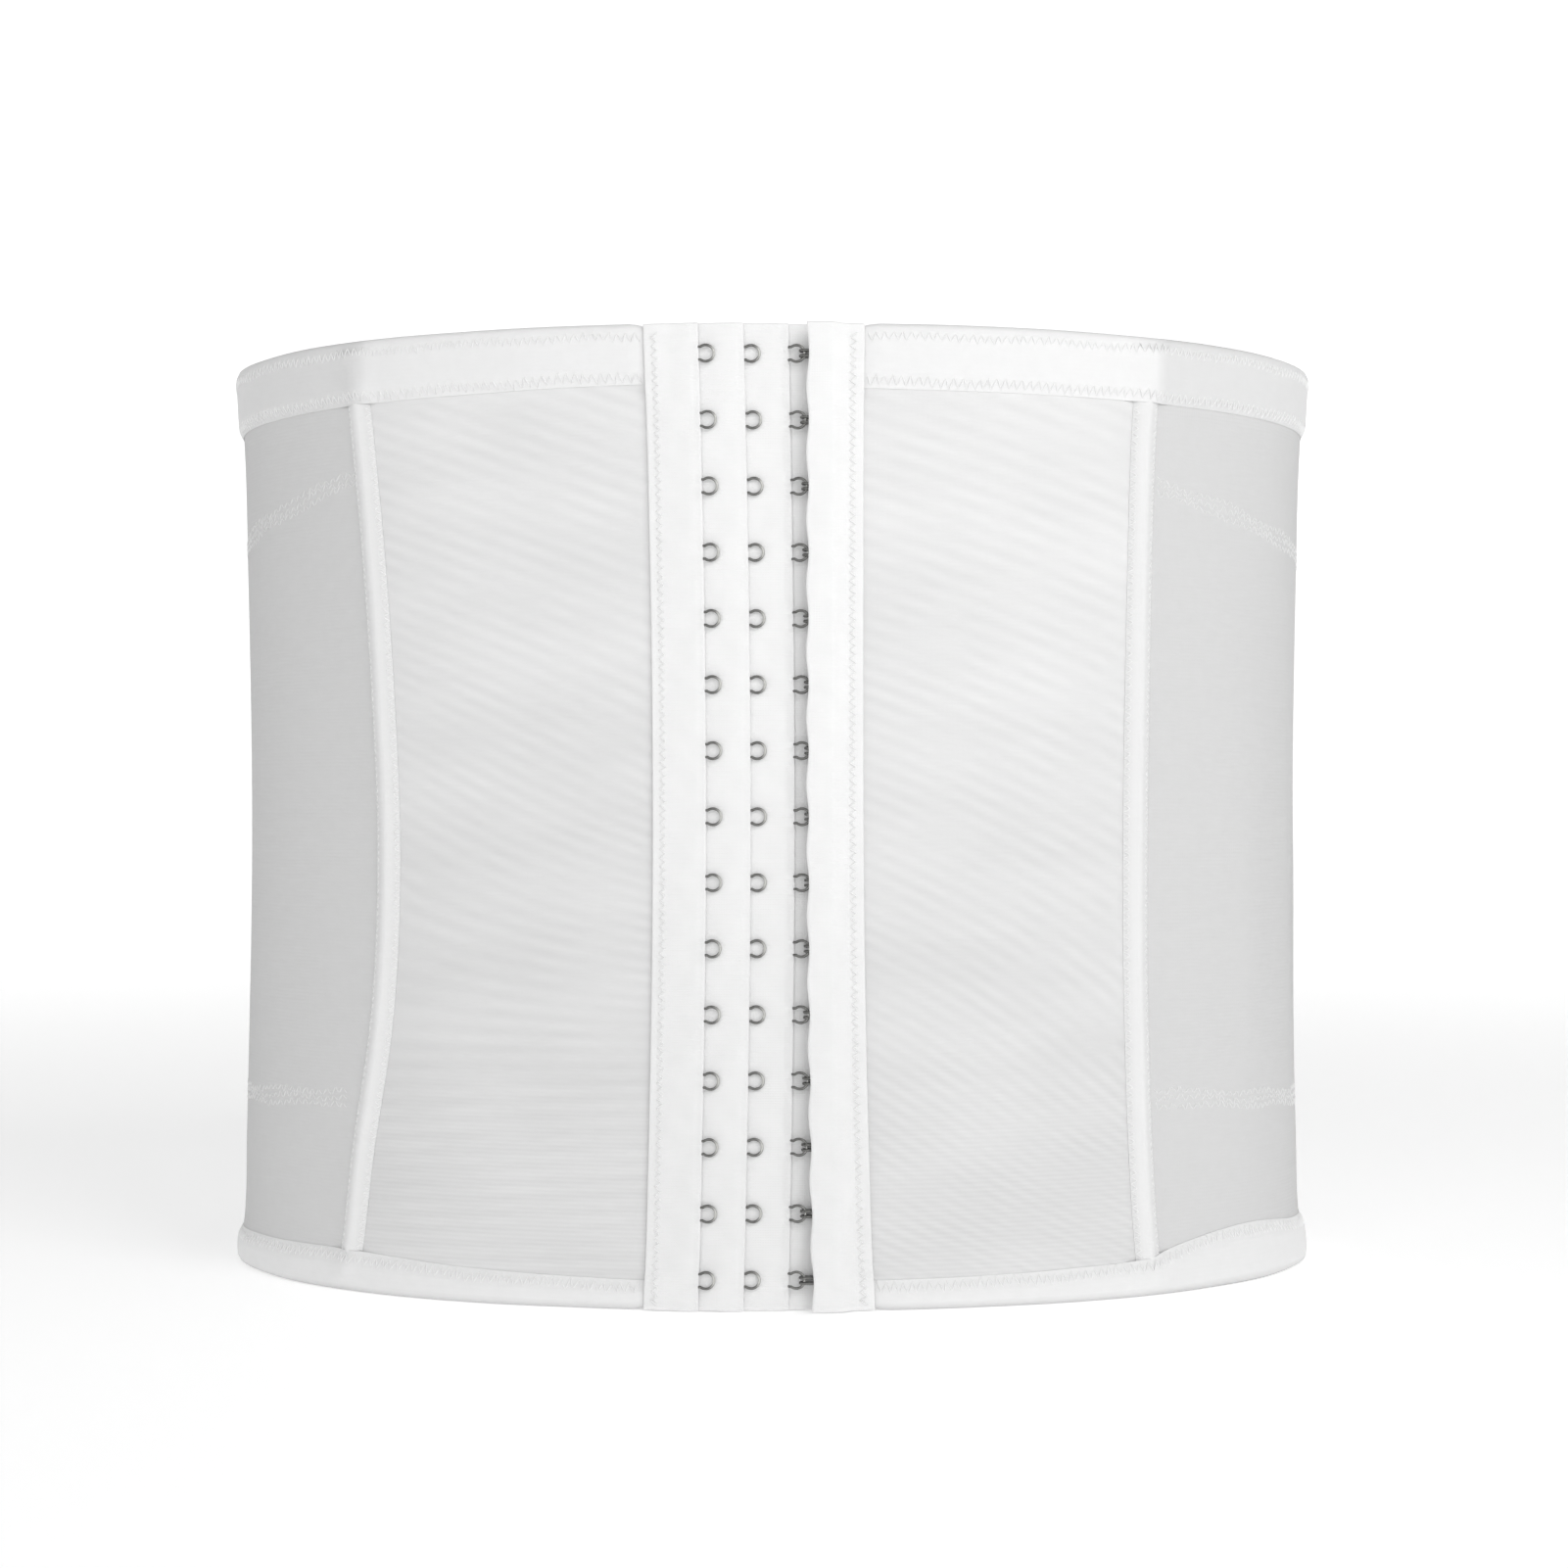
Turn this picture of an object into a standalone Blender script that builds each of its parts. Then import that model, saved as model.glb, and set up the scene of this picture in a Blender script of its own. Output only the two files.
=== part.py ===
"""Lumbar compression belt, standing on its hem in the tube form that it has when worn.

Metres, +Z up, the front faces -Y and +X is the right hand of someone who looks at the front.
The belt is a closed loop of cloth panels. Every place on it is given by three lengths: the arc
round the waist from the front centre (positive to the right), the height above the floor, and
the offset outwards from the panels' inner face.
"""

import math
from collections import namedtuple

import bmesh
import bpy
import numpy as np
from mathutils import Matrix

# Size of the belt, between the panels' inner faces where it is a width or a depth
BELT_HEIGHT = 0.2852
WAIST_WIDTH = 0.3386
WAIST_DEPTH = 0.2290
SECTION_POWER = 2.1         # 2 gives an ellipse, more gives squarer corners

# Cloth walls and the clearance between pieces
FABRIC = 0.0012
TAPE = 0.0010
FIT_GAP = 0.0003

# Seams, as arcs at the waist: the front ones from the front centre, the back ones from the back
LEFT_FRONT_SEAM = 0.1187
RIGHT_FRONT_SEAM = 0.1114
BACK_SEAM = 0.1100

# Bone channels sewn over the seams
CHANNEL_WIDTH = 0.0088
CHANNEL_RIDGE_WIDTH = 0.0046
CHANNEL_CROWN_WIDTH = 0.0018
CHANNEL_FLANGE = 0.0010
CHANNEL_RIDGE = 0.0019

# Bindings folded over the top and bottom ends, measured at the left side
TOP_BAND = 0.0205
BOTTOM_HEM = 0.0102
FOLD_CHAMFER = 0.0009

# Hook and eye closure, as arcs from the front centre at the top of the belt
CLOSURE_LEFT = -0.0350
FIRST_TAPE_EDGE = -0.0206
COLUMN_PITCH = 0.0127
ROW_PITCH = 0.01905
EYE_COLUMNS = 3
END_MARGIN = 0.0085
END_CLEARANCE = 0.0004
TAPE_OVERLAP = 0.0060
PANEL_LAP = 0.0040
FLAP_FREE = 0.0103
FLAP_SEWN = 0.0249
TAPE_SWAY = 0.0019
FLAP_DRIFT = 0.0015
FLAP_SPREAD = 0.0030
FLAP_LANDING = 0.0028

# Steel wire of the hooks and eyes
WIRE_RADIUS = 0.00045
WIRE_SIDES = 5
EYE_HALF_HEIGHT = 0.0023
EYE_REACH = 0.00425
EYE_ROOT = 0.0012
EYE_STEPS = 4
HOOK_HALF_GAP = 0.00075
HOOK_BEND = 0.0013
HOOK_SHANK = 0.0060
HOOK_TIP = 0.0030
HOOK_STEPS = 3
HOOK_TIP_STEPS = 2

# How much the belt changes over its height. The columns are shares: of the belt's height, of half
# the waist's width and depth, of the two front seams' arcs, and of the closure's sway and spread.
Section = namedtuple("Section", "height width front back left_seam right_seam tape flap")
SECTIONS = (
    Section(0.000, 1.0165, 1.0245, 1.035, 1.108, 1.028, 0.00, 1.00),
    Section(0.020, 1.0160, 1.0240, 1.034, 1.105, 1.026, 0.06, 0.94),
    Section(0.050, 1.0105, 1.0220, 1.031, 1.099, 1.023, 0.16, 0.84),
    Section(0.140, 1.0065, 1.0140, 1.021, 1.074, 1.011, 0.43, 0.60),
    Section(0.280, 1.0020, 1.0040, 1.006, 1.022, 1.003, 0.77, 0.32),
    Section(0.450, 1.0000, 1.0000, 1.000, 1.000, 1.000, 0.99, 0.13),
    Section(0.620, 1.0020, 1.0030, 1.004, 1.013, 1.001, 0.93, 0.06),
    Section(0.780, 1.0065, 1.0100, 1.015, 1.038, 1.006, 0.64, 0.03),
    Section(0.890, 1.0110, 1.0175, 1.025, 1.062, 1.012, 0.34, 0.01),
    Section(0.965, 1.0180, 1.0235, 1.034, 1.076, 1.018, 0.11, 0.00),
    Section(1.000, 1.0215, 1.0260, 1.038, 1.083, 1.023, 0.00, 0.00),
)

# How tall the two bindings are round the belt: the arc as a share of half the girth, then shares
# of the top band's and the bottom hem's heights
BandEdge = namedtuple("BandEdge", "arc top hem")
BAND_EDGES = (
    BandEdge(-1.00, 1.00, 1.10),
    BandEdge(-0.50, 1.00, 0.98),
    BandEdge(-0.38, 0.97, 1.16),
    BandEdge(-0.29, 0.94, 1.22),
    BandEdge(-0.20, 0.91, 1.01),
    BandEdge(-0.07, 0.86, 0.84),
    BandEdge(0.07, 0.92, 0.86),
    BandEdge(0.19, 0.94, 0.98),
    BandEdge(0.25, 0.95, 1.12),
    BandEdge(0.28, 0.96, 1.42),
    BandEdge(0.34, 0.97, 1.76),
    BandEdge(0.42, 0.98, 1.52),
    BandEdge(0.50, 1.00, 1.40),
    BandEdge(0.80, 1.02, 1.20),
    BandEdge(1.00, 1.00, 1.10),
)

# Flat facets between one corner line and the next, round half the belt and in the closure
BACK_FACETS = 4
SIDE_FACETS = 13
FRONT_FACETS = 3
FLAP_FACETS = 2
BORDER_MARGIN = 0.0005
CURVE_SAMPLES = 4001

Finish = namedtuple("Finish", "color roughness metallic")
POWERNET = Finish((0.83, 0.83, 0.82), 0.85, 0.0)
TRICOT = Finish((0.86, 0.86, 0.86), 0.60, 0.0)
BINDING = Finish((0.88, 0.88, 0.88), 0.70, 0.0)
CLOSURE_TAPE = Finish((0.92, 0.92, 0.92), 0.75, 0.0)
STEEL = Finish((0.45, 0.45, 0.44), 0.35, 1.0)
SMOOTH_ANGLE = math.radians(35)

# The waist's outline: points, outward directions and arcs, from the back round the front
turn = np.linspace(-math.pi, math.pi, CURVE_SAMPLES)
waist_x = WAIST_WIDTH / 2 * np.sign(np.sin(turn)) * np.abs(np.sin(turn)) ** (2 / SECTION_POWER)
waist_y = -WAIST_DEPTH / 2 * np.sign(np.cos(turn)) * np.abs(np.cos(turn)) ** (2 / SECTION_POWER)
waist_arc = np.concatenate([[0.0], np.cumsum(np.hypot(np.diff(waist_x), np.diff(waist_y)))])
GIRTH = waist_arc[-1]
HALF_GIRTH = GIRTH / 2
waist_arc -= HALF_GIRTH

SECTION_HEIGHTS = np.array([section.height for section in SECTIONS]) * BELT_HEIGHT
BAND_ARCS = np.array([edge.arc for edge in BAND_EDGES]) * HALF_GIRTH


def share(column, height):
    """A column of SECTIONS at these heights, in straight steps between its rows."""
    values = [getattr(section, column) for section in SECTIONS]
    return np.interp(height, SECTION_HEIGHTS, values)


def band_height(column, size, arc):
    """Height of a binding at these arcs: its size times a column of BAND_EDGES."""
    return size * np.interp(wrap(arc), BAND_ARCS, [getattr(edge, column) for edge in BAND_EDGES])


def wrap(arc):
    """The same place as an arc within half a girth of the front centre."""
    return (np.asarray(arc) + HALF_GIRTH) % GIRTH - HALF_GIRTH


def left_seam(height):
    return -LEFT_FRONT_SEAM * share("left_seam", height)


def right_seam(height):
    return RIGHT_FRONT_SEAM * share("right_seam", height)


def left_back_seam(height):
    return BACK_SEAM * share("right_seam", height) - HALF_GIRTH


def right_back_seam(height):
    return HALF_GIRTH - BACK_SEAM * share("right_seam", height)


def closure_left(height):
    return CLOSURE_LEFT + TAPE_SWAY * share("tape", height)


def tape_edge(column, height):
    """Right edge of one of the eye tapes, counted from 0 at the left."""
    return FIRST_TAPE_EDGE + column * COLUMN_PITCH + TAPE_SWAY * share("tape", height)


def flap_free(height):
    return FLAP_FREE + FLAP_DRIFT * share("flap", height)


def flap_sewn(height):
    return FLAP_SEWN + FLAP_SPREAD * share("flap", height)


def corner_lines(height):
    """Arcs of the upright lines where the belt's facets meet: a row for each height."""
    height = np.atleast_1d(height)
    keys = [np.full(height.shape, -HALF_GIRTH), left_back_seam(height), left_seam(height),
            closure_left(height)]
    steps = [BACK_FACETS, SIDE_FACETS, FRONT_FACETS]
    for column in range(EYE_COLUMNS):
        keys.append(tape_edge(column, height))
        steps.append(1)
    keys += [flap_sewn(height), right_seam(height), right_back_seam(height),
             np.full(height.shape, HALF_GIRTH)]
    steps += [FLAP_FACETS, FRONT_FACETS, SIDE_FACETS, BACK_FACETS]
    lines = [keys[0]]
    for start, end, count in zip(keys, keys[1:], steps):
        for step in range(1, count + 1):
            lines.append(start + (end - start) * step / count)
    return np.column_stack(lines)


def section_point(arc, height, offset):
    """A place on the smooth outline: the waist's point, scaled for its height, pushed outwards."""
    x = np.interp(arc, waist_arc, waist_x)
    y = np.interp(arc, waist_arc, waist_y)
    normal_x = np.sign(x) * np.abs(2 * x / WAIST_WIDTH) ** (SECTION_POWER - 1) / WAIST_WIDTH
    normal_y = np.sign(y) * np.abs(2 * y / WAIST_DEPTH) ** (SECTION_POWER - 1) / WAIST_DEPTH
    length = np.hypot(normal_x, normal_y)
    depth_share = np.where(y < 0, share("front", height), share("back", height))
    return np.stack([x * share("width", height) + offset * normal_x / length,
                     y * depth_share + offset * normal_y / length,
                     height], axis=-1)


def surface(arc, height, offset):
    """Places on the faceted belt: straight between the two nearest corner lines."""
    arc, height, offset = np.broadcast_arrays(wrap(arc), height, offset)
    shape = arc.shape
    arc, height, offset = arc.ravel(), height.ravel(), offset.ravel()
    lines = corner_lines(height)
    before = np.clip((lines <= arc[:, None]).sum(axis=1) - 1, 0, lines.shape[1] - 2)
    rows = np.arange(len(arc))
    start = lines[rows, before]
    end = lines[rows, before + 1]
    along = ((arc - start) / (end - start))[:, None]
    points = (section_point(start, height, offset) * (1 - along)
              + section_point(end, height, offset) * along)
    return points.reshape(shape + (3,))


def two_turns(height):
    """The corner lines once more past the back, for pieces that cross it."""
    lines = corner_lines(height)
    return np.hstack([lines, lines[:, 1:] + GIRTH])


def columns_between(left, right, heights, bends=()):
    """Arcs of a piece's columns: its borders, its bends and every corner line between them."""
    lines = two_turns(heights)
    after_left = lines > left[:, None] + BORDER_MARGIN
    before_right = lines < right[:, None] - BORDER_MARGIN
    inside = np.all(after_left & before_right, axis=0)
    return np.sort(np.column_stack([left, lines[:, inside], *bends, right]), axis=1)


def rows_between(low, high):
    """Heights of a piece's rows: its two ends and every row of SECTIONS between them."""
    inside = (SECTION_HEIGHTS > low + BORDER_MARGIN) & (SECTION_HEIGHTS < high - BORDER_MARGIN)
    return np.concatenate([[low], SECTION_HEIGHTS[inside], [high]])


def new_object(name, mesh, finish):
    """An object in the scene, shaded smooth, with a material of its own."""
    material = bpy.data.materials.new(name)
    material.use_nodes = True
    shader = material.node_tree.nodes["Principled BSDF"]
    shader.inputs["Base Color"].default_value = (*finish.color, 1.0)
    shader.inputs["Roughness"].default_value = finish.roughness
    shader.inputs["Metallic"].default_value = finish.metallic
    mesh.materials.append(material)
    mesh.shade_smooth()
    mesh.set_sharp_from_angle(angle=SMOOTH_ANGLE)
    item = bpy.data.objects.new(name, mesh)
    bpy.context.scene.collection.objects.link(item)
    return item


def mesh_from(name, points, faces):
    """A closed mesh with its faces turned outwards."""
    mesh = bpy.data.meshes.new(name)
    mesh.from_pydata(points, [], faces)
    shell = bmesh.new()
    shell.from_mesh(mesh)
    bmesh.ops.recalc_face_normals(shell, faces=shell.faces)
    shell.to_mesh(mesh)
    shell.free()
    return mesh


def slab(name, outside, inside, finish):
    """A wall of cloth between two grids of points, closed all round its border."""
    rows, columns = outside.shape[:2]
    outer = np.arange(rows * columns).reshape(rows, columns)
    inner = outer + rows * columns
    faces = []
    for grid in (outer, inner):
        corners = (grid[:-1, :-1], grid[:-1, 1:], grid[1:, 1:], grid[1:, :-1])
        faces += np.stack(corners, axis=-1).reshape(-1, 4).tolist()
    for side in ((slice(None), 0), (slice(None), -1), (0, slice(None)), (-1, slice(None))):
        corners = (outer[side][:-1], outer[side][1:], inner[side][1:], inner[side][:-1])
        faces += np.stack(corners, axis=-1).tolist()
    points = np.concatenate([outside.reshape(-1, 3), inside.reshape(-1, 3)]).tolist()
    return new_object(name, mesh_from(name, points, faces), finish)


def tube(path, first_vertex):
    """Corner points and faces of a wire along a path, with flat ends."""
    tangents = np.gradient(path, axis=0)
    tangents /= np.linalg.norm(tangents, axis=1)[:, None]
    across = np.cross(tangents[0], (0.0, 0.0, 1.0))
    angles = 2 * math.pi * np.arange(WIRE_SIDES) / WIRE_SIDES
    rings = []
    for point, tangent in zip(path, tangents):
        across = across - tangent * np.dot(across, tangent)
        across /= np.linalg.norm(across)
        beside = np.cross(tangent, across)
        rings.append(point + WIRE_RADIUS * (np.outer(np.cos(angles), across)
                                            + np.outer(np.sin(angles), beside)))
    faces = []
    for ring in range(len(path) - 1):
        low = first_vertex + ring * WIRE_SIDES
        for side in range(WIRE_SIDES):
            following = (side + 1) % WIRE_SIDES
            faces.append((low + side, low + following,
                          low + WIRE_SIDES + following, low + WIRE_SIDES + side))
    end = first_vertex + (len(path) - 1) * WIRE_SIDES
    faces.append(tuple(range(first_vertex, first_vertex + WIRE_SIDES)))
    faces.append(tuple(range(end, end + WIRE_SIDES)))
    return np.concatenate(rings), faces


def panel(name, left, right, finish):
    """A body panel between two upright borders, its ends tucked into the bindings."""
    fold = FABRIC + FIT_GAP
    heights = rows_between(fold, BELT_HEIGHT - fold)
    arcs = columns_between(left(heights), right(heights), heights)
    levels = heights[:, None]
    slab(name, surface(arcs, levels, FABRIC), surface(arcs, levels, 0.0), finish)


def panels():
    """Two front panels, two side panels and the back panel, edge to edge at the seams."""
    half_seam = FIT_GAP

    def before(line):
        return lambda height: line(height) - half_seam

    def after(line):
        return lambda height: line(height) + half_seam

    def next_turn(line):
        return lambda height: line(height) + GIRTH

    panel("front_panel_left", after(left_seam), left_panel_edge, POWERNET)
    panel("front_panel_right", right_panel_edge, before(right_seam), POWERNET)
    panel("side_panel_left", after(left_back_seam), before(left_seam), TRICOT)
    panel("side_panel_right", after(right_seam), before(right_back_seam), TRICOT)
    panel("back_panel", after(right_back_seam), before(next_turn(left_back_seam)), POWERNET)


def left_panel_edge(height):
    return closure_left(height) + PANEL_LAP


def right_panel_edge(height):
    return flap_sewn(height) - PANEL_LAP


def bone_channel(name, seam):
    """A channel over a seam: flat flanges with a raised ridge where the bone lies."""
    seam_offsets = np.array([-CHANNEL_WIDTH, -CHANNEL_RIDGE_WIDTH, -CHANNEL_CROWN_WIDTH,
                             CHANNEL_CROWN_WIDTH, CHANNEL_RIDGE_WIDTH, CHANNEL_WIDTH]) / 2
    rise = np.array([CHANNEL_FLANGE, CHANNEL_FLANGE, CHANNEL_RIDGE,
                     CHANNEL_RIDGE, CHANNEL_FLANGE, CHANNEL_FLANGE])
    foot_arcs = seam(0.0) + seam_offsets
    head_arcs = seam(BELT_HEIGHT) + seam_offsets
    foot = band_height("hem", BOTTOM_HEM, foot_arcs).max() + FIT_GAP
    head = BELT_HEIGHT - band_height("top", TOP_BAND, head_arcs).max() - FIT_GAP
    heights = rows_between(foot, head)
    arcs = seam(heights)[:, None] + seam_offsets
    levels = heights[:, None]
    seat = FABRIC + FIT_GAP
    slab(name, surface(arcs, levels, seat + rise), surface(arcs, levels, seat), TRICOT)


def bone_channels():
    bone_channel("front_bone_channel_left", left_seam)
    bone_channel("front_bone_channel_right", right_seam)
    bone_channel("back_bone_channel_left", left_back_seam)
    bone_channel("back_bone_channel_right", right_back_seam)


def binding(name, column, size, fold, inward, bend):
    """A tape folded over the panels' ends, from the flap round the back to the eye tapes.

    Its section is a U: along the inside, across the fold and back along the outside. inward is 1
    where the free edges lie above the fold, as at the bottom, and -1 at the top. bend is how far
    from the fold the belt's side changes its slope.
    """
    lines = two_turns(fold)[0]
    start = flap_sewn(fold) + FIT_GAP
    end = closure_left(fold) + GIRTH - FIT_GAP
    inside = np.flatnonzero((lines > start + BORDER_MARGIN) & (lines < end - BORDER_MARGIN))
    free = band_height(column, size, np.concatenate([[start], lines[inside], [end]]))
    low = -FIT_GAP
    high = FABRIC + FIT_GAP
    lip = FIT_GAP / 3
    outer_offsets = (low - FABRIC, low - FABRIC, low - FABRIC, low - FABRIC + FOLD_CHAMFER,
                     high + FABRIC - FOLD_CHAMFER, high + FABRIC, high + FABRIC, high + FABRIC)
    outer_places = (free, bend, FOLD_CHAMFER, 0.0, 0.0, FOLD_CHAMFER, bend, free)
    inner_offsets = (low, low, low, low + lip, high - lip, high, high, high)
    inner_places = (free, bend, FABRIC + lip, FABRIC, FABRIC, FABRIC + lip, bend, free)

    def grid(offsets, places):
        rows = []
        for offset, place in zip(offsets, places):
            heights = fold + inward * np.broadcast_to(place, free.shape)
            arcs = np.concatenate([[flap_sewn(heights[0]) + FIT_GAP],
                                   two_turns(heights[1:-1])[np.arange(len(inside)), inside],
                                   [closure_left(heights[-1]) + GIRTH - FIT_GAP]])
            rows.append(surface(arcs, heights, offset))
        return np.stack(rows)

    slab(name, grid(outer_offsets, outer_places), grid(inner_offsets, inner_places), BINDING)


def bindings():
    binding("top_band", "top", TOP_BAND, BELT_HEIGHT, -1, BELT_HEIGHT - SECTION_HEIGHTS[-2])
    binding("bottom_hem", "hem", BOTTOM_HEM, 0.0, 1, SECTION_HEIGHTS[1])


def closure_heights():
    return rows_between(END_CLEARANCE, BELT_HEIGHT - END_CLEARANCE)


def row_heights():
    """Heights of the rows of hooks and eyes, from the top: as many as the belt holds, centred."""
    count = int((BELT_HEIGHT - 2 * END_MARGIN) / ROW_PITCH) + 1
    return BELT_HEIGHT / 2 + ROW_PITCH * ((count - 1) / 2 - np.arange(count))


def tape_width(column):
    """First tape: from the closure's left border. The others start under the one before."""
    if column == 0:
        return FIRST_TAPE_EDGE - CLOSURE_LEFT
    return COLUMN_PITCH + TAPE_OVERLAP


def tape_level(column, place):
    """Offset of a tape's inner face, where place is the distance left of its right edge.

    A tape lies on what is under its left edge, rises over the left edge of the next tape and
    then rests on that tape.
    """
    ground = TAPE + FIT_GAP
    if column == EYE_COLUMNS - 1:
        return np.full(np.shape(place), ground)
    layer = TAPE + FIT_GAP
    foot = FABRIC + FIT_GAP if column == 0 else ground
    over = tape_level(column + 1, tape_width(column + 1)) + layer
    top = tape_level(column + 1, COLUMN_PITCH) + layer
    places = (0.0, TAPE_OVERLAP + TAPE, tape_width(column))
    return np.interp(place, places, (top, over, foot))


def eye_level(column):
    """Offset of the wire at an eye's round end: clear of the tape or the hook under it."""
    if column == EYE_COLUMNS - 1:
        return TAPE + FIT_GAP + WIRE_RADIUS + HOOK_BEND
    beneath = tape_level(column + 1, COLUMN_PITCH - EYE_REACH - WIRE_RADIUS) + TAPE
    in_tape = tape_level(column, 0.0) + TAPE / 2
    return max(in_tape, beneath + FIT_GAP + WIRE_RADIUS)


def eye_path(column, height):
    """An eye: two level legs out of the tape's right edge and a half circle that joins them."""
    edge = tape_edge(column, height)
    level = eye_level(column)
    root_level = tape_level(column, EYE_ROOT) + TAPE / 2
    angles = np.linspace(math.pi / 2, -math.pi / 2, EYE_STEPS + 1)
    round_arcs = edge + EYE_REACH - EYE_HALF_HEIGHT * (1 - np.cos(angles))
    arcs = np.concatenate([[edge - EYE_ROOT], round_arcs, [edge - EYE_ROOT]])
    rises = EYE_HALF_HEIGHT * np.concatenate([[1.0], np.sin(angles), [-1.0]])
    levels = np.concatenate([[root_level], np.full(angles.shape, level), [root_level]])
    return surface(arcs, height + rises, levels)


def hook_path(height):
    """A hook: one wire, doubled, that comes from under the flap over the round end of an eye in
    the last column, bends back through the eye and ends in a narrow loop beneath it."""
    level = eye_level(EYE_COLUMNS - 1)
    inset = HOOK_HALF_GAP * math.tan(math.pi / 2 / EYE_STEPS)
    centre = tape_edge(EYE_COLUMNS - 1, height) + EYE_REACH - inset
    base = flap_free(height) + HOOK_SHANK
    bend = np.linspace(math.pi / 2, math.pi * 3 / 2, HOOK_STEPS + 1)
    tip = np.linspace(math.pi / 2, -math.pi / 2, HOOK_TIP_STEPS + 1)
    bend_arcs = centre + HOOK_BEND * np.cos(bend)
    bend_levels = level + HOOK_BEND * np.sin(bend)
    tip_arcs = centre + HOOK_TIP + HOOK_HALF_GAP * np.cos(tip)
    tip_levels = np.full(tip.shape, level - HOOK_BEND)
    arcs = np.concatenate([[base], bend_arcs, tip_arcs, bend_arcs[::-1], [base]])
    levels = np.concatenate([[bend_levels[0]], bend_levels, tip_levels,
                             bend_levels[::-1], [bend_levels[0]]])
    half = np.full(HOOK_STEPS + 2, HOOK_HALF_GAP)
    rises = np.concatenate([half, HOOK_HALF_GAP * np.sin(tip), -half])
    return surface(arcs, height + rises, levels)


def eye_backing():
    """The cloth that carries the eye tapes, between the two front panels' edges."""
    heights = closure_heights()
    clearance = 2 * FIT_GAP
    arcs = columns_between(left_panel_edge(heights) + clearance,
                           right_panel_edge(heights) - clearance, heights)
    levels = heights[:, None]
    slab("eye_backing", surface(arcs, levels, TAPE), surface(arcs, levels, 0.0), CLOSURE_TAPE)


def eye_tape(column):
    """One strip with its row of steel eyes, which are sewn in and so are one piece with it."""
    name = f"eye_tape_{column + 1}"
    heights = closure_heights()
    edge = tape_edge(column, heights)
    bends = [] if column == EYE_COLUMNS - 1 else [edge - TAPE_OVERLAP - TAPE]
    arcs = columns_between(edge - tape_width(column), edge, heights, bends)
    inside = tape_level(column, edge[:, None] - arcs)
    levels = heights[:, None]
    strip = slab(name, surface(arcs, levels, inside + TAPE), surface(arcs, levels, inside),
                 CLOSURE_TAPE)
    points = []
    faces = []
    for height in row_heights():
        ring_points, ring_faces = tube(eye_path(column, height), len(points))
        points += ring_points.tolist()
        faces += ring_faces
    eyes_name = f"eyes_of_tape_{column + 1}"
    eyes = new_object(eyes_name, mesh_from(eyes_name, points, faces), STEEL)
    eyes.hide_render = True
    eyes.display_type = "WIRE"
    union = strip.modifiers.new("Eyes", "BOOLEAN")
    union.operation = "UNION"
    union.solver = "EXACT"
    union.object = eyes


def hook_panel():
    """The flap with the hooks: it stands over the hooked eyes and comes down on the panel."""
    heights = closure_heights()
    free = flap_free(heights)
    sewn = flap_sewn(heights)
    shoulder = free + HOOK_SHANK + FIT_GAP
    landing = sewn - FLAP_LANDING
    arcs = columns_between(free, sewn, heights, [shoulder, landing])
    seat = FABRIC + FIT_GAP
    top = eye_level(EYE_COLUMNS - 1) + HOOK_BEND + WIRE_RADIUS + FIT_GAP
    slope = (landing[:, None] - arcs) / (landing - shoulder)[:, None]
    inside = seat + (top - seat) * np.clip(slope, 0.0, 1.0)
    levels = heights[:, None]
    slab("hook_panel", surface(arcs, levels, inside + FABRIC), surface(arcs, levels, inside),
         CLOSURE_TAPE)


def hooks():
    for number, height in enumerate(row_heights(), start=1):
        name = f"hook_{number:02d}"
        points, faces = tube(hook_path(height), 0)
        new_object(name, mesh_from(name, points.tolist(), faces), STEEL)


def stand_at_origin():
    """Move every mesh so that the belt stands on the origin, centred in both directions."""
    items = list(bpy.context.scene.objects)
    corners = np.array([vertex.co for item in items for vertex in item.data.vertices])
    low = corners.min(axis=0)
    high = corners.max(axis=0)
    shift = (-(low[0] + high[0]) / 2, -(low[1] + high[1]) / 2, -low[2])
    for item in items:
        item.data.transform(Matrix.Translation(shift))


def build():
    for item in list(bpy.data.objects):
        bpy.data.objects.remove(item, do_unlink=True)
    panels()
    bone_channels()
    bindings()
    eye_backing()
    for column in range(EYE_COLUMNS):
        eye_tape(column)
    hook_panel()
    hooks()
    stand_at_origin()


build()
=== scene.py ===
"""Lumbar compression belt: the cloth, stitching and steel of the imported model, in a pale studio.

Metres, +Z up, the front faces -Y and +X is the right hand of someone who looks at the front.
Every place on the belt is given by three lengths: the arc round the waist from the front centre
(positive to the right), the height above the floor, and the offset outwards from the panels'
inner face.
"""

import functools
import math
from collections import namedtuple

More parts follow.
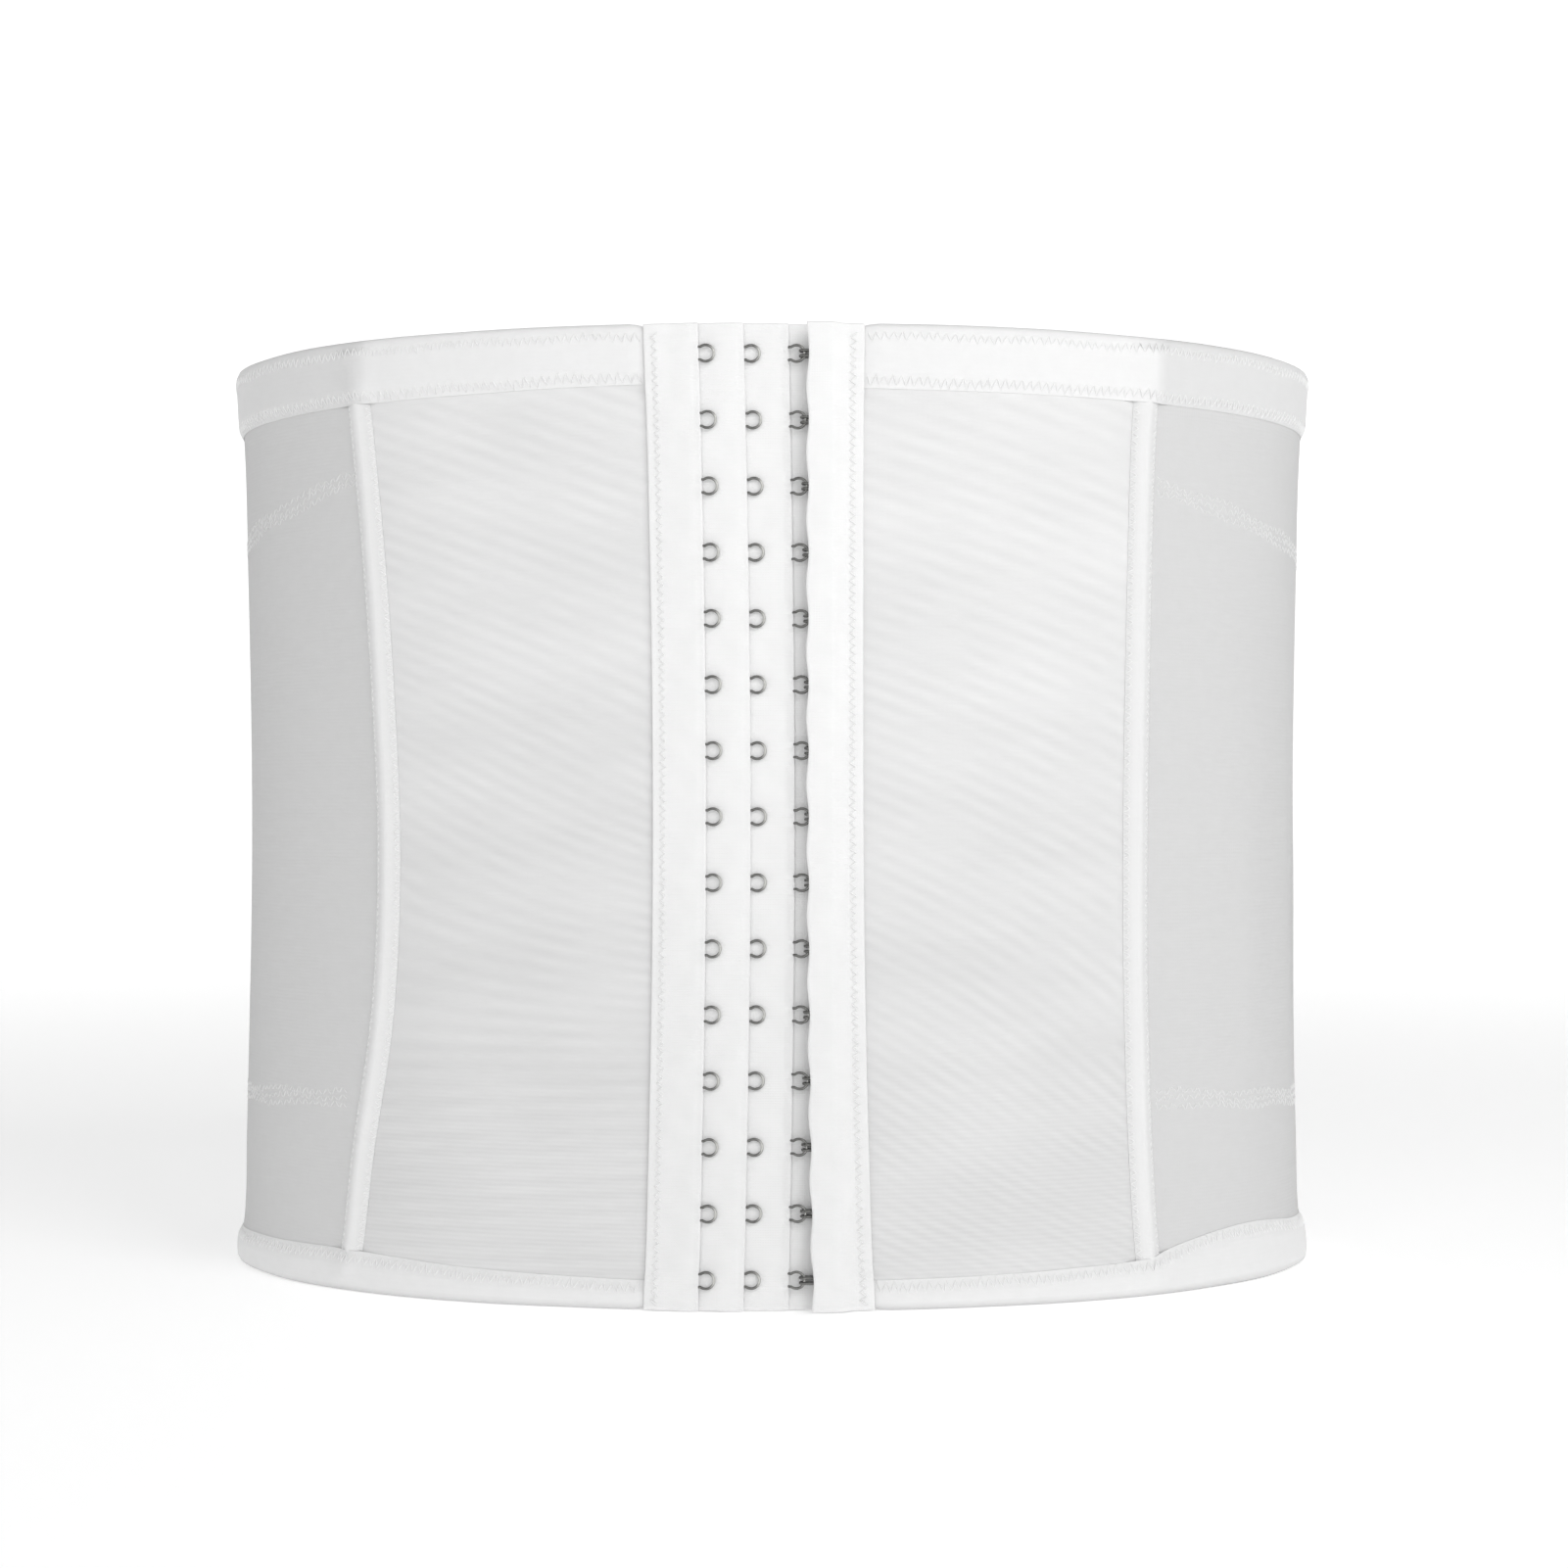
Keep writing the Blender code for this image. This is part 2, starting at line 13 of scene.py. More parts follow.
import bpy
import numpy as np
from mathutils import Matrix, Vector

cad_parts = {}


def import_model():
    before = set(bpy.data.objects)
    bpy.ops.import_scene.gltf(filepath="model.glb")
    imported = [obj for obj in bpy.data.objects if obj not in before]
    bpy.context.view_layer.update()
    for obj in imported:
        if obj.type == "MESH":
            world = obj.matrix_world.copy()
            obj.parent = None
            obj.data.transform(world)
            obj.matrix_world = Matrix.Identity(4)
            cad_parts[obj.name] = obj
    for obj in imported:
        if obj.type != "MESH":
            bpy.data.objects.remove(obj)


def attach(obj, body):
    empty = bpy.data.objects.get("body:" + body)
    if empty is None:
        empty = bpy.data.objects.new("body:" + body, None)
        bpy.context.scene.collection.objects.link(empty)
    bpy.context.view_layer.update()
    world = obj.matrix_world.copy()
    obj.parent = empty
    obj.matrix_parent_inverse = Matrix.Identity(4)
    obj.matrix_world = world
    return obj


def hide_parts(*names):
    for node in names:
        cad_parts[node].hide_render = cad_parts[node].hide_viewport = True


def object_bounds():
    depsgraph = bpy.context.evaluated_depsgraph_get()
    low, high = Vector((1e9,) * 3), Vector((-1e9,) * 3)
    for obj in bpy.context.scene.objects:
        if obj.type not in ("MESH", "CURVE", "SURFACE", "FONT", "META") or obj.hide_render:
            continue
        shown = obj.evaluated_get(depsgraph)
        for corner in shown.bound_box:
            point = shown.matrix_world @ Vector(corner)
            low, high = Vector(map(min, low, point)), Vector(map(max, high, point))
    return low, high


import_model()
CAD_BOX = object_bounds()

bl_info = {
    "name": "Lumbar compression belt",
    "version": (1, 0, 0),
    "blender": (4, 5, 0),
    "location": "3D View > Sidebar > Belt",
    "description": "Builds a boned waist belt with a hook and eye closure",
    "category": "Add Mesh",
}

BODY = "root"
MM = 0.001

# Where the belt's own axis stands in the frame
AXIS_X = 0.00016
AXIS_Y = 0.00096

# The waist's outline: 2 gives an ellipse, more gives squarer corners
SECTION_POWER = 2.1
CURVE_SAMPLES = 4001


def table(name, labels, *rows):
    """The rows of a table, each with its values under these labels."""
    kind = namedtuple(name, labels)
    return tuple(kind(*row) for row in rows)


# Shares of the belt's height, of half the waist's width and depth, of the two front seams' arcs,
# and of the closure's sway and spread
SECTIONS = table(
    "Section", "height width front back left_seam right_seam tape flap",
    (0.000, 1.0165, 1.0245, 1.035, 1.108, 1.028, 0.00, 1.00),
    (0.020, 1.0160, 1.0240, 1.034, 1.105, 1.026, 0.06, 0.94),
    (0.050, 1.0105, 1.0220, 1.031, 1.099, 1.023, 0.16, 0.84),
    (0.140, 1.0065, 1.0140, 1.021, 1.074, 1.011, 0.43, 0.60),
    (0.280, 1.0020, 1.0040, 1.006, 1.022, 1.003, 0.77, 0.32),
    (0.450, 1.0000, 1.0000, 1.000, 1.000, 1.000, 0.99, 0.13),
    (0.620, 1.0020, 1.0030, 1.004, 1.013, 1.001, 0.93, 0.06),
    (0.780, 1.0065, 1.0100, 1.015, 1.038, 1.006, 0.64, 0.03),
    (0.890, 1.0110, 1.0175, 1.025, 1.062, 1.012, 0.34, 0.01),
    (0.965, 1.0180, 1.0235, 1.034, 1.076, 1.018, 0.11, 0.00),
    (1.000, 1.0215, 1.0260, 1.038, 1.083, 1.023, 0.00, 0.00),
)

# How tall the bindings are round the belt: the arc as a share of half the girth, then shares of
# the top band's and the bottom hem's heights
BAND_EDGES = table(
    "BandEdge", "arc top hem",
    (-1.00, 1.00, 1.10),
    (-0.50, 1.00, 0.98),
    (-0.38, 0.97, 1.16),
    (-0.29, 0.94, 1.22),
    (-0.20, 0.91, 1.01),
    (-0.07, 0.86, 0.84),
    (0.07, 0.92, 0.86),
    (0.19, 0.94, 0.98),
    (0.25, 0.95, 1.12),
    (0.28, 0.96, 1.42),
    (0.34, 0.97, 1.76),
    (0.42, 0.98, 1.52),
    (0.50, 1.00, 1.40),
    (0.80, 1.02, 1.20),
    (1.00, 1.00, 1.10),
)

# Clearances and laps between the layers
FIT_GAP = 0.3 * MM
PANEL_LAP = 4.0 * MM
TAPE_OVERLAP = 6.0 * MM
FLAP_LANDING = 2.8 * MM
END_CLEARANCE = 0.4 * MM
END_MARGIN = 8.5 * MM
EYE_COLUMNS = 3

# How the closure leans and spreads from the top of the belt to its bottom
TAPE_SWAY = 1.9 * MM
FLAP_DRIFT = 1.5 * MM
FLAP_SPREAD = 3.0 * MM

# Grid spacings of the cloth, and steps in each rounded border
PANEL_STEP = 2.0 * MM
BAND_STEP = 2.4 * MM
ROUNDING_STEPS = 3


def centimetres(name, description, value):
    """A size that the user can change, shown in the scene's length unit."""
    return bpy.props.FloatProperty(
        name=name, description=description, default=value, min=0.0, subtype="DISTANCE",
        unit="LENGTH", precision=5)


def colour(name, description, value):
    """A colour that the user can change, given as an sRGB hex value."""
    return bpy.props.FloatVectorProperty(
        name=name, description=description, default=linear(value), size=4, min=0.0, max=1.0,
        subtype="COLOR")


def linear(hex_value):
    """The linear colour of an sRGB hex value: the usual curve on each of its three channels."""
    channels = np.array([int(hex_value[place:place + 2], 16) for place in (1, 3, 5)]) / 255
    curved = ((channels + 0.055) / 1.055) ** 2.4
    return (*np.where(channels <= 0.04045, channels / 12.92, curved).tolist(), 1.0)


class BeltSizes(bpy.types.PropertyGroup):
    """Sizes of the belt"""
    height: centimetres("Height", "Height of the belt", float(CAD_BOX[1][2] - CAD_BOX[0][2]))
    waist_width: centimetres("Waist width", "Width between the panels at the waist", 0.3386)
    waist_depth: centimetres("Waist depth", "Depth between the panels at the waist", 0.2290)
    fabric: centimetres("Cloth", "Thickness of the panels and bindings", 0.0012)
    tape: centimetres("Tape", "Thickness of the eye tapes", 0.0010)
    left_seam: centimetres("Left seam", "Arc from the front centre to the left seam", 0.1187)
    right_seam: centimetres("Right seam", "Arc from the front centre to the right seam", 0.1114)
    back_seam: centimetres("Back seams", "Arc from the back centre to each back seam", 0.1100)
    channel: centimetres("Channel", "Width of a bone channel", 0.0088)
    channel_rise: centimetres("Channel rise", "Thickness of a channel at its bone", 0.0019)
    flange: centimetres("Flange", "Thickness of a channel's sewn flange", 0.0010)
    top_band: centimetres("Top band", "Height of the top binding at the side", 0.0205)
    bottom_hem: centimetres("Bottom hem", "Height of the bottom binding at the side", 0.0102)
    closure: centimetres("Closure", "Arc from the front centre to the closure's border", 0.0350)
    first_edge: centimetres("First tape edge", "Arc from the centre to the first edge", 0.0206)
    column_pitch: centimetres("Column pitch", "Distance between the eye tapes' edges", 0.0127)
    row_pitch: centimetres("Row pitch", "Distance between the rows of eyes", 0.01905)
    flap_free: centimetres("Flap's free edge", "Arc to the free edge at the top", 0.0103)
    flap_sewn: centimetres("Flap's sewn edge", "Arc to the sewn edge at the top", 0.0249)
    wire: centimetres("Wire", "Diameter of the steel wire", 0.0008)
    eye_reach: centimetres("Eye", "How far the middle of an eye's wire stands out", 0.00425)
    thread: centimetres("Thread", "Diameter of the sewing thread as drawn", 0.00040)


class BeltColours(bpy.types.PropertyGroup):
    """Colours of the belt and the studio"""
    mesh: colour("Power mesh", "Front and back panels", "#E8E8E8")
    tricot: colour("Tricot", "Side panels", "#D4D4D4")
    channel: colour("Channels", "Bone channels", "#E8E8E8")
    binding: colour("Binding", "Top band and bottom hem", "#EDEDED")
    tape: colour("Closure tape", "Eye tapes and hook flap", "#F1F1F1")
    thread: colour("Thread", "Sewing thread", "#F2F2F2")
    steel: colour("Steel", "Hooks and eyes", "#6E6E6C")
    floor: colour("Floor", "Floor and backdrop", "#F6F6F6")


def sizes():
    return bpy.context.scene.belt_sizes


def colours():
    return bpy.context.scene.belt_colours


@functools.lru_cache
def waist_outline(width, depth):
    """Points and arcs of the waist: a superellipse, walked from the back round the front."""
    turn = np.linspace(-math.pi, math.pi, CURVE_SAMPLES)
    power = 2 / SECTION_POWER
    x = width / 2 * np.sign(np.sin(turn)) * np.abs(np.sin(turn)) ** power
    y = -depth / 2 * np.sign(np.cos(turn)) * np.abs(np.cos(turn)) ** power
    arc = np.concatenate([[0.0], np.cumsum(np.hypot(np.diff(x), np.diff(y)))])
    return x, y, arc - arc[-1] / 2


def girth():
    arc = waist_outline(sizes().waist_width, sizes().waist_depth)[2]
    return arc[-1] - arc[0]


def wrap(arc):
    """The same place as an arc within half a girth of the front centre."""
    return (np.asarray(arc) + girth() / 2) % girth() - girth() / 2


def smooth_curve(places, known, values):
    """A cubic Hermite curve through known values, with the slope that its neighbours give."""
    slopes = np.gradient(values, known)
    places = np.clip(places, known[0], known[-1])
    before = np.clip(np.searchsorted(known, places, side="right") - 1, 0, len(known) - 2)
    step = known[before + 1] - known[before]
    t = (places - known[before]) / step
    return ((2 * t ** 3 - 3 * t ** 2 + 1) * values[before]
            + (t ** 3 - 2 * t ** 2 + t) * step * slopes[before]
            + (3 * t ** 2 - 2 * t ** 3) * values[before + 1]
            + (t ** 3 - t ** 2) * step * slopes[before + 1])


def share(column, height):
    """A column of SECTIONS at these heights, as a smooth curve through its rows."""
    known = np.array([section.height for section in SECTIONS]) * sizes().height
    return smooth_curve(height, known, np.array([getattr(row, column) for row in SECTIONS]))


def band_height(column, size, arc):
    """Height of a binding at these arcs: its size times a smooth curve through BAND_EDGES."""
    known = np.array([edge.arc for edge in BAND_EDGES]) * girth() / 2
    values = np.array([getattr(edge, column) for edge in BAND_EDGES])
    return size * smooth_curve(wrap(arc), known, values)


def top_edge(arc):
    """Height of the top band's lower border."""
    return sizes().height - band_height("top", sizes().top_band, arc)


def hem_edge(arc):
    """Height of the bottom hem's upper border."""
    return band_height("hem", sizes().bottom_hem, arc)


def ramp(places, low, high):
    """0 before low, 1 after high and an S-shaped rise between them."""
    t = np.clip((places - low) / (high - low), 0.0, 1.0)
    return t * t * (3 - 2 * t)


def lessened(part, amount):
    """1 where the amount is 0, down to a part where it is 1."""
    return 1 - (1 - part) * amount


# Arcs of the four seams: the distance at the waist times the share at a height
def left_seam(height):
    return -sizes().left_seam * share("left_seam", height)


def right_seam(height):
    return sizes().right_seam * share("right_seam", height)


def left_back_seam(height):
    return sizes().back_seam * share("right_seam", height) - girth() / 2


def right_back_seam(height):
    return girth() / 2 - sizes().back_seam * share("right_seam", height)


SEAMS = {
    "front_bone_channel_left": left_seam,
    "front_bone_channel_right": right_seam,
    "back_bone_channel_left": left_back_seam,
    "back_bone_channel_right": right_back_seam,
}


# Arcs of the closure's borders and edges: a fixed arc, and a sway or spread times its share
def closure_left(height):
    return TAPE_SWAY * share("tape", height) - sizes().closure


def tape_edge(column, height):
    """Right edge of one of the eye tapes, counted from 0 at the left."""
    first = TAPE_SWAY * share("tape", height) - sizes().first_edge
    return first + column * sizes().column_pitch


def flap_free(height):
    return sizes().flap_free + FLAP_DRIFT * share("flap", height)


def flap_sewn(height):
    return sizes().flap_sewn + FLAP_SPREAD * share("flap", height)


def left_panel_edge(height):
    return closure_left(height) + PANEL_LAP


def right_panel_edge(height):
    return flap_sewn(height) - PANEL_LAP


def row_heights():
    """Heights of the rows of hooks and eyes, from the top: as many as the belt holds, centred."""
    height = sizes().height
    pitch = sizes().row_pitch
    count = int((height - 2 * END_MARGIN) / pitch) + 1
    return height / 2 + pitch * ((count - 1) / 2 - np.arange(count))


# Soft folds of the cloth: arc, height, half width, half height and how far it stands out
FOLDS = table(
    "Fold", "arc height width tall rise",
    (0.158, 0.105, 0.0060, 0.050, 0.0007),
    (0.174, 0.090, 0.0065, 0.060, -0.0007),
    (0.190, 0.110, 0.0060, 0.055, 0.0008),
    (0.206, 0.115, 0.0070, 0.045, -0.0008),
    (0.222, 0.120, 0.0070, 0.040, 0.0009),
    (-0.175, 0.110, 0.0200, 0.070, 0.0006),
    (-0.210, 0.180, 0.0180, 0.060, -0.0005),
    (0.345, 0.120, 0.0120, 0.080, 0.0008),
    (-0.330, 0.150, 0.0140, 0.080, -0.0008),
    (0.420, 0.110, 0.0160, 0.090, 0.0007),
    (-0.415, 0.130, 0.0160, 0.070, 0.0007),
)

# Long slow waves of the whole wall: waves round the girth, cycles over the height, phase, rise
WAVES = table(
    "Wave", "round tall phase rise",
    (5, 0.8, 0.4, 0.00020),
    (9, 1.3, 2.1, 0.00016),
    (14, 0.6, 4.0, 0.00012),
    (23, 1.9, 1.2, 0.00009),
)


def softness(arc, height):
    """How far the cloth stands out of the even form: a sum of sines and of bell-shaped folds."""
    place = wrap(arc)
    rise = np.zeros(np.broadcast(place, height).shape)
    for wave in WAVES:
        turn = 2 * math.pi * (wave.round * place / girth() + wave.tall * height / sizes().height)
        rise = rise + wave.rise * np.sin(turn + wave.phase)
    for fold in FOLDS:
        away = ((place - fold.arc) / fold.width) ** 2 + ((height - fold.height) / fold.tall) ** 2
        rise = rise + fold.rise * np.exp(-away)
    return rise


def belt_point(arc, height, offset):
    """A place on the belt: the waist's point, scaled for its height, then pushed outwards."""
    outline_x, outline_y, outline_arc = waist_outline(sizes().waist_width, sizes().waist_depth)
    place = wrap(arc)
    x = np.interp(place, outline_arc, outline_x)
    y = np.interp(place, outline_arc, outline_y)
    width = sizes().waist_width
    depth = sizes().waist_depth
    normal_x = np.sign(x) * np.abs(2 * x / width) ** (SECTION_POWER - 1) / width
    normal_y = np.sign(y) * np.abs(2 * y / depth) ** (SECTION_POWER - 1) / depth
    length = np.hypot(normal_x, normal_y)
    depth_share = np.where(y < 0, share("front", height), share("back", height))
    offset = offset + softness(arc, height)
    return np.stack(np.broadcast_arrays(
        AXIS_X + x * share("width", height) + offset * normal_x / length,
        AXIS_Y + y * depth_share + offset * normal_y / length,
        height), axis=-1)


def spaced(low, high, step, rounding):
    """Places from low to high: as on a quarter circle at each end, in even steps between."""
    turn = np.linspace(0.0, math.pi / 2, ROUNDING_STEPS + 1)[:-1]
    ends = rounding * (1 - np.cos(turn))
    count = max(2, int(round((high - low - 2 * rounding) / step)) + 1)
    middle = np.linspace(low + rounding, high - rounding, count)
    return np.concatenate([low + ends, middle, (high - ends)[::-1]])


def fullness(places, rounding):
    """The share of its thickness that a sheet has at these places: a half circle at its ends."""
    edge = np.minimum(places - places[0], places[-1] - places) / rounding
    edge = np.clip(edge, 0.0, 1.0)
    return np.sqrt(edge * (2 - edge))


def quads_of(grid):
    """Four-cornered faces between the rows and columns of grids of vertex numbers."""
    corners = (grid[..., :-1, :-1], grid[..., :-1, 1:], grid[..., 1:, 1:], grid[..., 1:, :-1])
    return np.stack(corners, axis=-1).reshape(-1, 4)


def piece_from(name, points, quads, material, caps=None, uv=None, values=None):
    """An object with a mesh of quads and, at the ends of wires, flat caps. uv holds a pair of
    metres for each vertex, and values a number for each vertex under each name."""
    mesh = bpy.data.meshes.new(name)
    corners = quads.ravel()
    starts = np.arange(0, len(corners), 4)
    if caps is not None:
        starts = np.concatenate([starts, len(corners) + np.arange(0, caps.size, caps.shape[1])])
        corners = np.concatenate([corners, caps.ravel()])
    mesh.vertices.add(len(points))
    mesh.vertices.foreach_set("co", np.ascontiguousarray(points, dtype=np.float32).ravel())
    mesh.loops.add(len(corners))
    mesh.loops.foreach_set("vertex_index", corners.astype(np.int32))
    mesh.polygons.add(len(starts))
    mesh.polygons.foreach_set("loop_start", starts.astype(np.int32))
    mesh.update(calc_edges=True)
    if uv is not None:
        layer = mesh.uv_layers.new(name="cloth")
        layer.uv.foreach_set("vector", uv[corners].astype(np.float32).ravel())
    for label, numbers in (values or {}).items():
        attribute = mesh.attributes.new(label, "FLOAT", "POINT")
        attribute.data.foreach_set("value", numbers.astype(np.float32))
    mesh.materials.append(material)
    mesh.shade_smooth()
    if mesh.validate():
        raise RuntimeError(f"{name} has faces that aren't valid")
    piece = bpy.data.objects.new(name, mesh)
    bpy.context.scene.collection.objects.link(piece)
    return piece


def closed_sheet(name, outside, inside, uv, material, values=None):
    """A sheet of cloth between two grids of points that meet along its border."""
    rows, columns = outside.shape[:2]
    front = np.arange(rows * columns).reshape(rows, columns)
    back = front.copy()
    middle = (slice(1, -1), slice(1, -1))
    back[middle] = rows * columns + np.arange((rows - 2) * (columns - 2)).reshape(rows - 2, -1)
    quads = np.concatenate([quads_of(front), quads_of(back)[:, ::-1]])

    def both(grid):
        size = grid.shape[2:]
        return np.concatenate([grid.reshape(-1, *size), grid[middle].reshape(-1, *size)])

    points = np.concatenate([outside.reshape(-1, 3), inside[middle].reshape(-1, 3)])
    numbers = {label: both(grid) for label, grid in (values or {}).items()}
    return piece_from(name, points, quads, material, uv=both(uv), values=numbers)


def upright_grid(left, right, low, high, step, rounding):
    """Arcs, heights and fullness of a sheet between two upright borders."""
    heights = spaced(low, high, step, rounding)
    span = right(heights) - left(heights)
    across = spaced(0.0, float(span.mean()), step, rounding)
    thick = np.outer(fullness(heights, rounding), fullness(across, rounding))
    arcs = left(heights)[:, None] + span[:, None] * across / across[-1]
    return arcs, np.broadcast_to(heights[:, None], arcs.shape), thick


def wall(name, grid, inner, outer, material, values=None):
    """A sheet between two offsets: its middle, and half its thickness times the fullness."""
    arcs, heights, thick = grid
    middle = (inner + outer) / 2
    half = (outer - inner) / 2 * thick
    return closed_sheet(name, belt_point(arcs, heights, middle + half),
                        belt_point(arcs, heights, middle - half),
                        np.stack([arcs, heights], axis=-1), material, values)


def tubes(paths, normals, radius, sides):
    """Round tubes along paths: a circle at every point, square to the path, with flat ends.

    paths and normals are arrays of tubes by points by three; a normal is never along its path.
    """
    tangents = np.gradient(paths, axis=1)
    tangents /= np.linalg.norm(tangents, axis=2, keepdims=True)
    across = np.cross(tangents, normals)
    across /= np.linalg.norm(across, axis=2, keepdims=True)
    beside = np.cross(across, tangents)
    angles = 2 * math.pi * np.arange(sides) / sides
    circle = (across[:, :, None] * np.cos(angles)[:, None]
              + beside[:, :, None] * np.sin(angles)[:, None])
    points = paths[:, :, None] + radius * circle
    count, rings = paths.shape[:2]
    grid = np.arange(count * rings * sides).reshape(count, rings, sides)
    grid = np.concatenate([grid, grid[:, :, :1]], axis=2)
    caps = np.concatenate([grid[:, 0, -2::-1], grid[:, -1, :-1]])
    return points.reshape(-1, 3), quads_of(grid), caps


def outward(arc, height):
    """The belt's outward direction, from two places one above the other."""
    return (belt_point(arc, height, MM) - belt_point(arc, height, 0.0)) / MM


# Sewing thread: steps round it and between two holes, how far it dips as a share of its radius,
# and the slow waves of a row
THREAD_SIDES = 5
STITCH_SAMPLES = 4
THREAD_DIP = 0.5
SLOW_WANDER = 2 * math.pi / 0.037


def stitched_rows(name, rows, level, material, sink=0.0):
    """Rows of lockstitch or zigzag, joined into one mesh.

    Each row is the arcs and heights of its needle holes. Between two holes the thread runs
    straight and stands out by half a sine, and at each hole it dips into the cloth. A soft cloth
    lets the whole row sink in.
    """
    radius = sizes().thread / 2
    points = []
    quads = []
    caps = []
    first = 0
    for arcs, heights in rows:
        holes = np.arange(len(arcs))
        places = np.linspace(0, len(arcs) - 1, (len(arcs) - 1) * STITCH_SAMPLES + 1)
        arc = np.interp(places, holes, arcs)
        height = np.interp(places, holes, heights)
        lift = radius * (np.abs(np.sin(math.pi * places)) * (1 + THREAD_DIP) - THREAD_DIP)
        path = belt_point(arc, height, level(arc, height) + lift - sink)
        ring_points, ring_quads, ring_caps = tubes(
            path[None], outward(arc, height)[None], radius, THREAD_SIDES)
        points.append(ring_points)
        quads.append(ring_quads + first)
        caps.append(ring_caps + first)
        first += len(ring_points)
    return piece_from(name, np.concatenate(points), np.concatenate(quads), material,
                      caps=np.concatenate(caps))


def needle_holes(low, high, pitch):
    """Places half a pitch apart, and the side that each lies on, 0.5 and -0.5 by turns."""
    steps = np.arange(int((high - low) / (pitch / 2)) + 1)
    return low + steps * pitch / 2, 0.5 - steps % 2


def zigzag_across(start, end, middle, pitch, tall, wander, seed):
    """Needle holes of a zigzag that runs round the belt: every half pitch up or down, each one
    off its place by up to the wander, and the whole line by slow waves as high as that."""
    arcs, sides = needle_holes(start, end, pitch)
    off = wander * np.random.default_rng(seed).uniform(-1.0, 1.0, (2, len(arcs)))
    slow = wander * np.sin(arcs * SLOW_WANDER + seed)
    return arcs + off[0], middle(arcs) + sides * tall + off[1] + slow


def zigzag_up(low, high, middle, pitch, wide):
    """Needle holes of a zigzag that runs up the belt: every half pitch left or right."""
    heights, sides = needle_holes(low, high, pitch)
    return middle(heights) + sides * wide, heights


def shaded(tone, part=1.0):
    """A colour made darker: its red, green and blue times a part."""
    return (*(np.array(tone[:3]) * part), 1.0)


def link(material, source, socket):
    """Link an output, or a node's first output, to a socket."""
    output = source.outputs[0] if isinstance(source, bpy.types.Node) else source
    material.node_tree.links.new(output, socket)


def add_node(material, kind, settings=None, inputs=None):
    """Add one node, with its settings, and with a value or a link for each named input. A node
    given as an input stands for its first output."""
    node = material.node_tree.nodes.new("ShaderNode" + kind)
    for label, value in (settings or {}).items():
        setattr(node, label, value)
    for label, value in (inputs or {}).items():
        if isinstance(value, (bpy.types.Node, bpy.types.NodeSocket)):
            link(material, value, node.inputs[label])
        else:
            node.inputs[label].default_value = value
    return node


def new_material(name, **values):
    """A material with a Principled BSDF, whose sockets take these values."""
    material = bpy.data.materials.get(name)
    if material is not None:
        return material, None
    material = bpy.data.materials.new(name)
    material.use_nodes = True
    shader = material.node_tree.nodes["Principled BSDF"]
    for label, value in values.items():
        shader.inputs[label.replace("_", " ")].default_value = value
    return material, shader


def cloth_place(material):
    """The piece's own UV map, in metres, and the same split into its two parts."""
    place = add_node(material, "UVMap", {"uv_map": "cloth"})
    return place, add_node(material, "SeparateXYZ", inputs={"Vector": place})


def wave_of(material, place, spacing):
    """A sine of a place, which comes round once in each spacing."""
    turn = add_node(material, "Math", {"operation": "MULTIPLY"},
                    {0: place, 1: 2 * math.pi / spacing})
    return add_node(material, "Math", {"operation": "SINE"}, {0: turn})


def knit(material, split, wale, course, wale_share):
    """Heights of a knitted face: a sine for the rows of stitches, a course apart, and a share of
    a sine for the wales that cross them."""
    return add_node(material, "Math", {"operation": "MULTIPLY_ADD"},
                    {0: wave_of(material, split.outputs["X"], wale), 1: wale_share,
                     2: wave_of(material, split.outputs["Y"], course)})


# Relief of the cloths: how deep their loops are, the soft clouds that make them uneven, and the
# share of the wales in a plain knit
LOOP_DEPTH = 0.1 * MM
CLOTH_CLOUDS_PER_METRE = 260.0
CLOUD_HEIGHT = 2.0
PLAIN_WALE_SHARE = 0.5

# Power mesh: the pitch of its level ribs, how strong they are and the heights that they fade
# between
MESH_RIB = 1.3 * MM
RIB_STRENGTH = 0.8
RIB_FADE = (0.035, 0.085)

# Its loops: their spacings and their relief
MESH_WALE = 1.6 * MM
MESH_COURSE = 1.0 * MM
MESH_WALE_SHARE = 0.4
MESH_RELIEF = 0.12

# Its stripes: how dark they are, and how uneven
STRIPE_SHADE = 0.93
STRIPE_CLOUDS_PER_METRE = 70.0
STRIPE_STRENGTHS = (0.1, 1.3)
STRIPE_REACH = 1.5

# Painted shade that darkens it towards its foot, and its broad slanting patches
MESH_FOOT_PAINTED_SHADE = 0.9
MESH_FOOT_SHADE_FADE = (0.02, 0.27)
PATCH_SHADES = (0.965, 1.02)
PATCH_SLANT = math.radians(25)
PATCHES_PER_METRE = (14.0, 45.0, 1.0)

# The values that most of a noise lies between
NOISE_REACH = (0.3, 0.7)


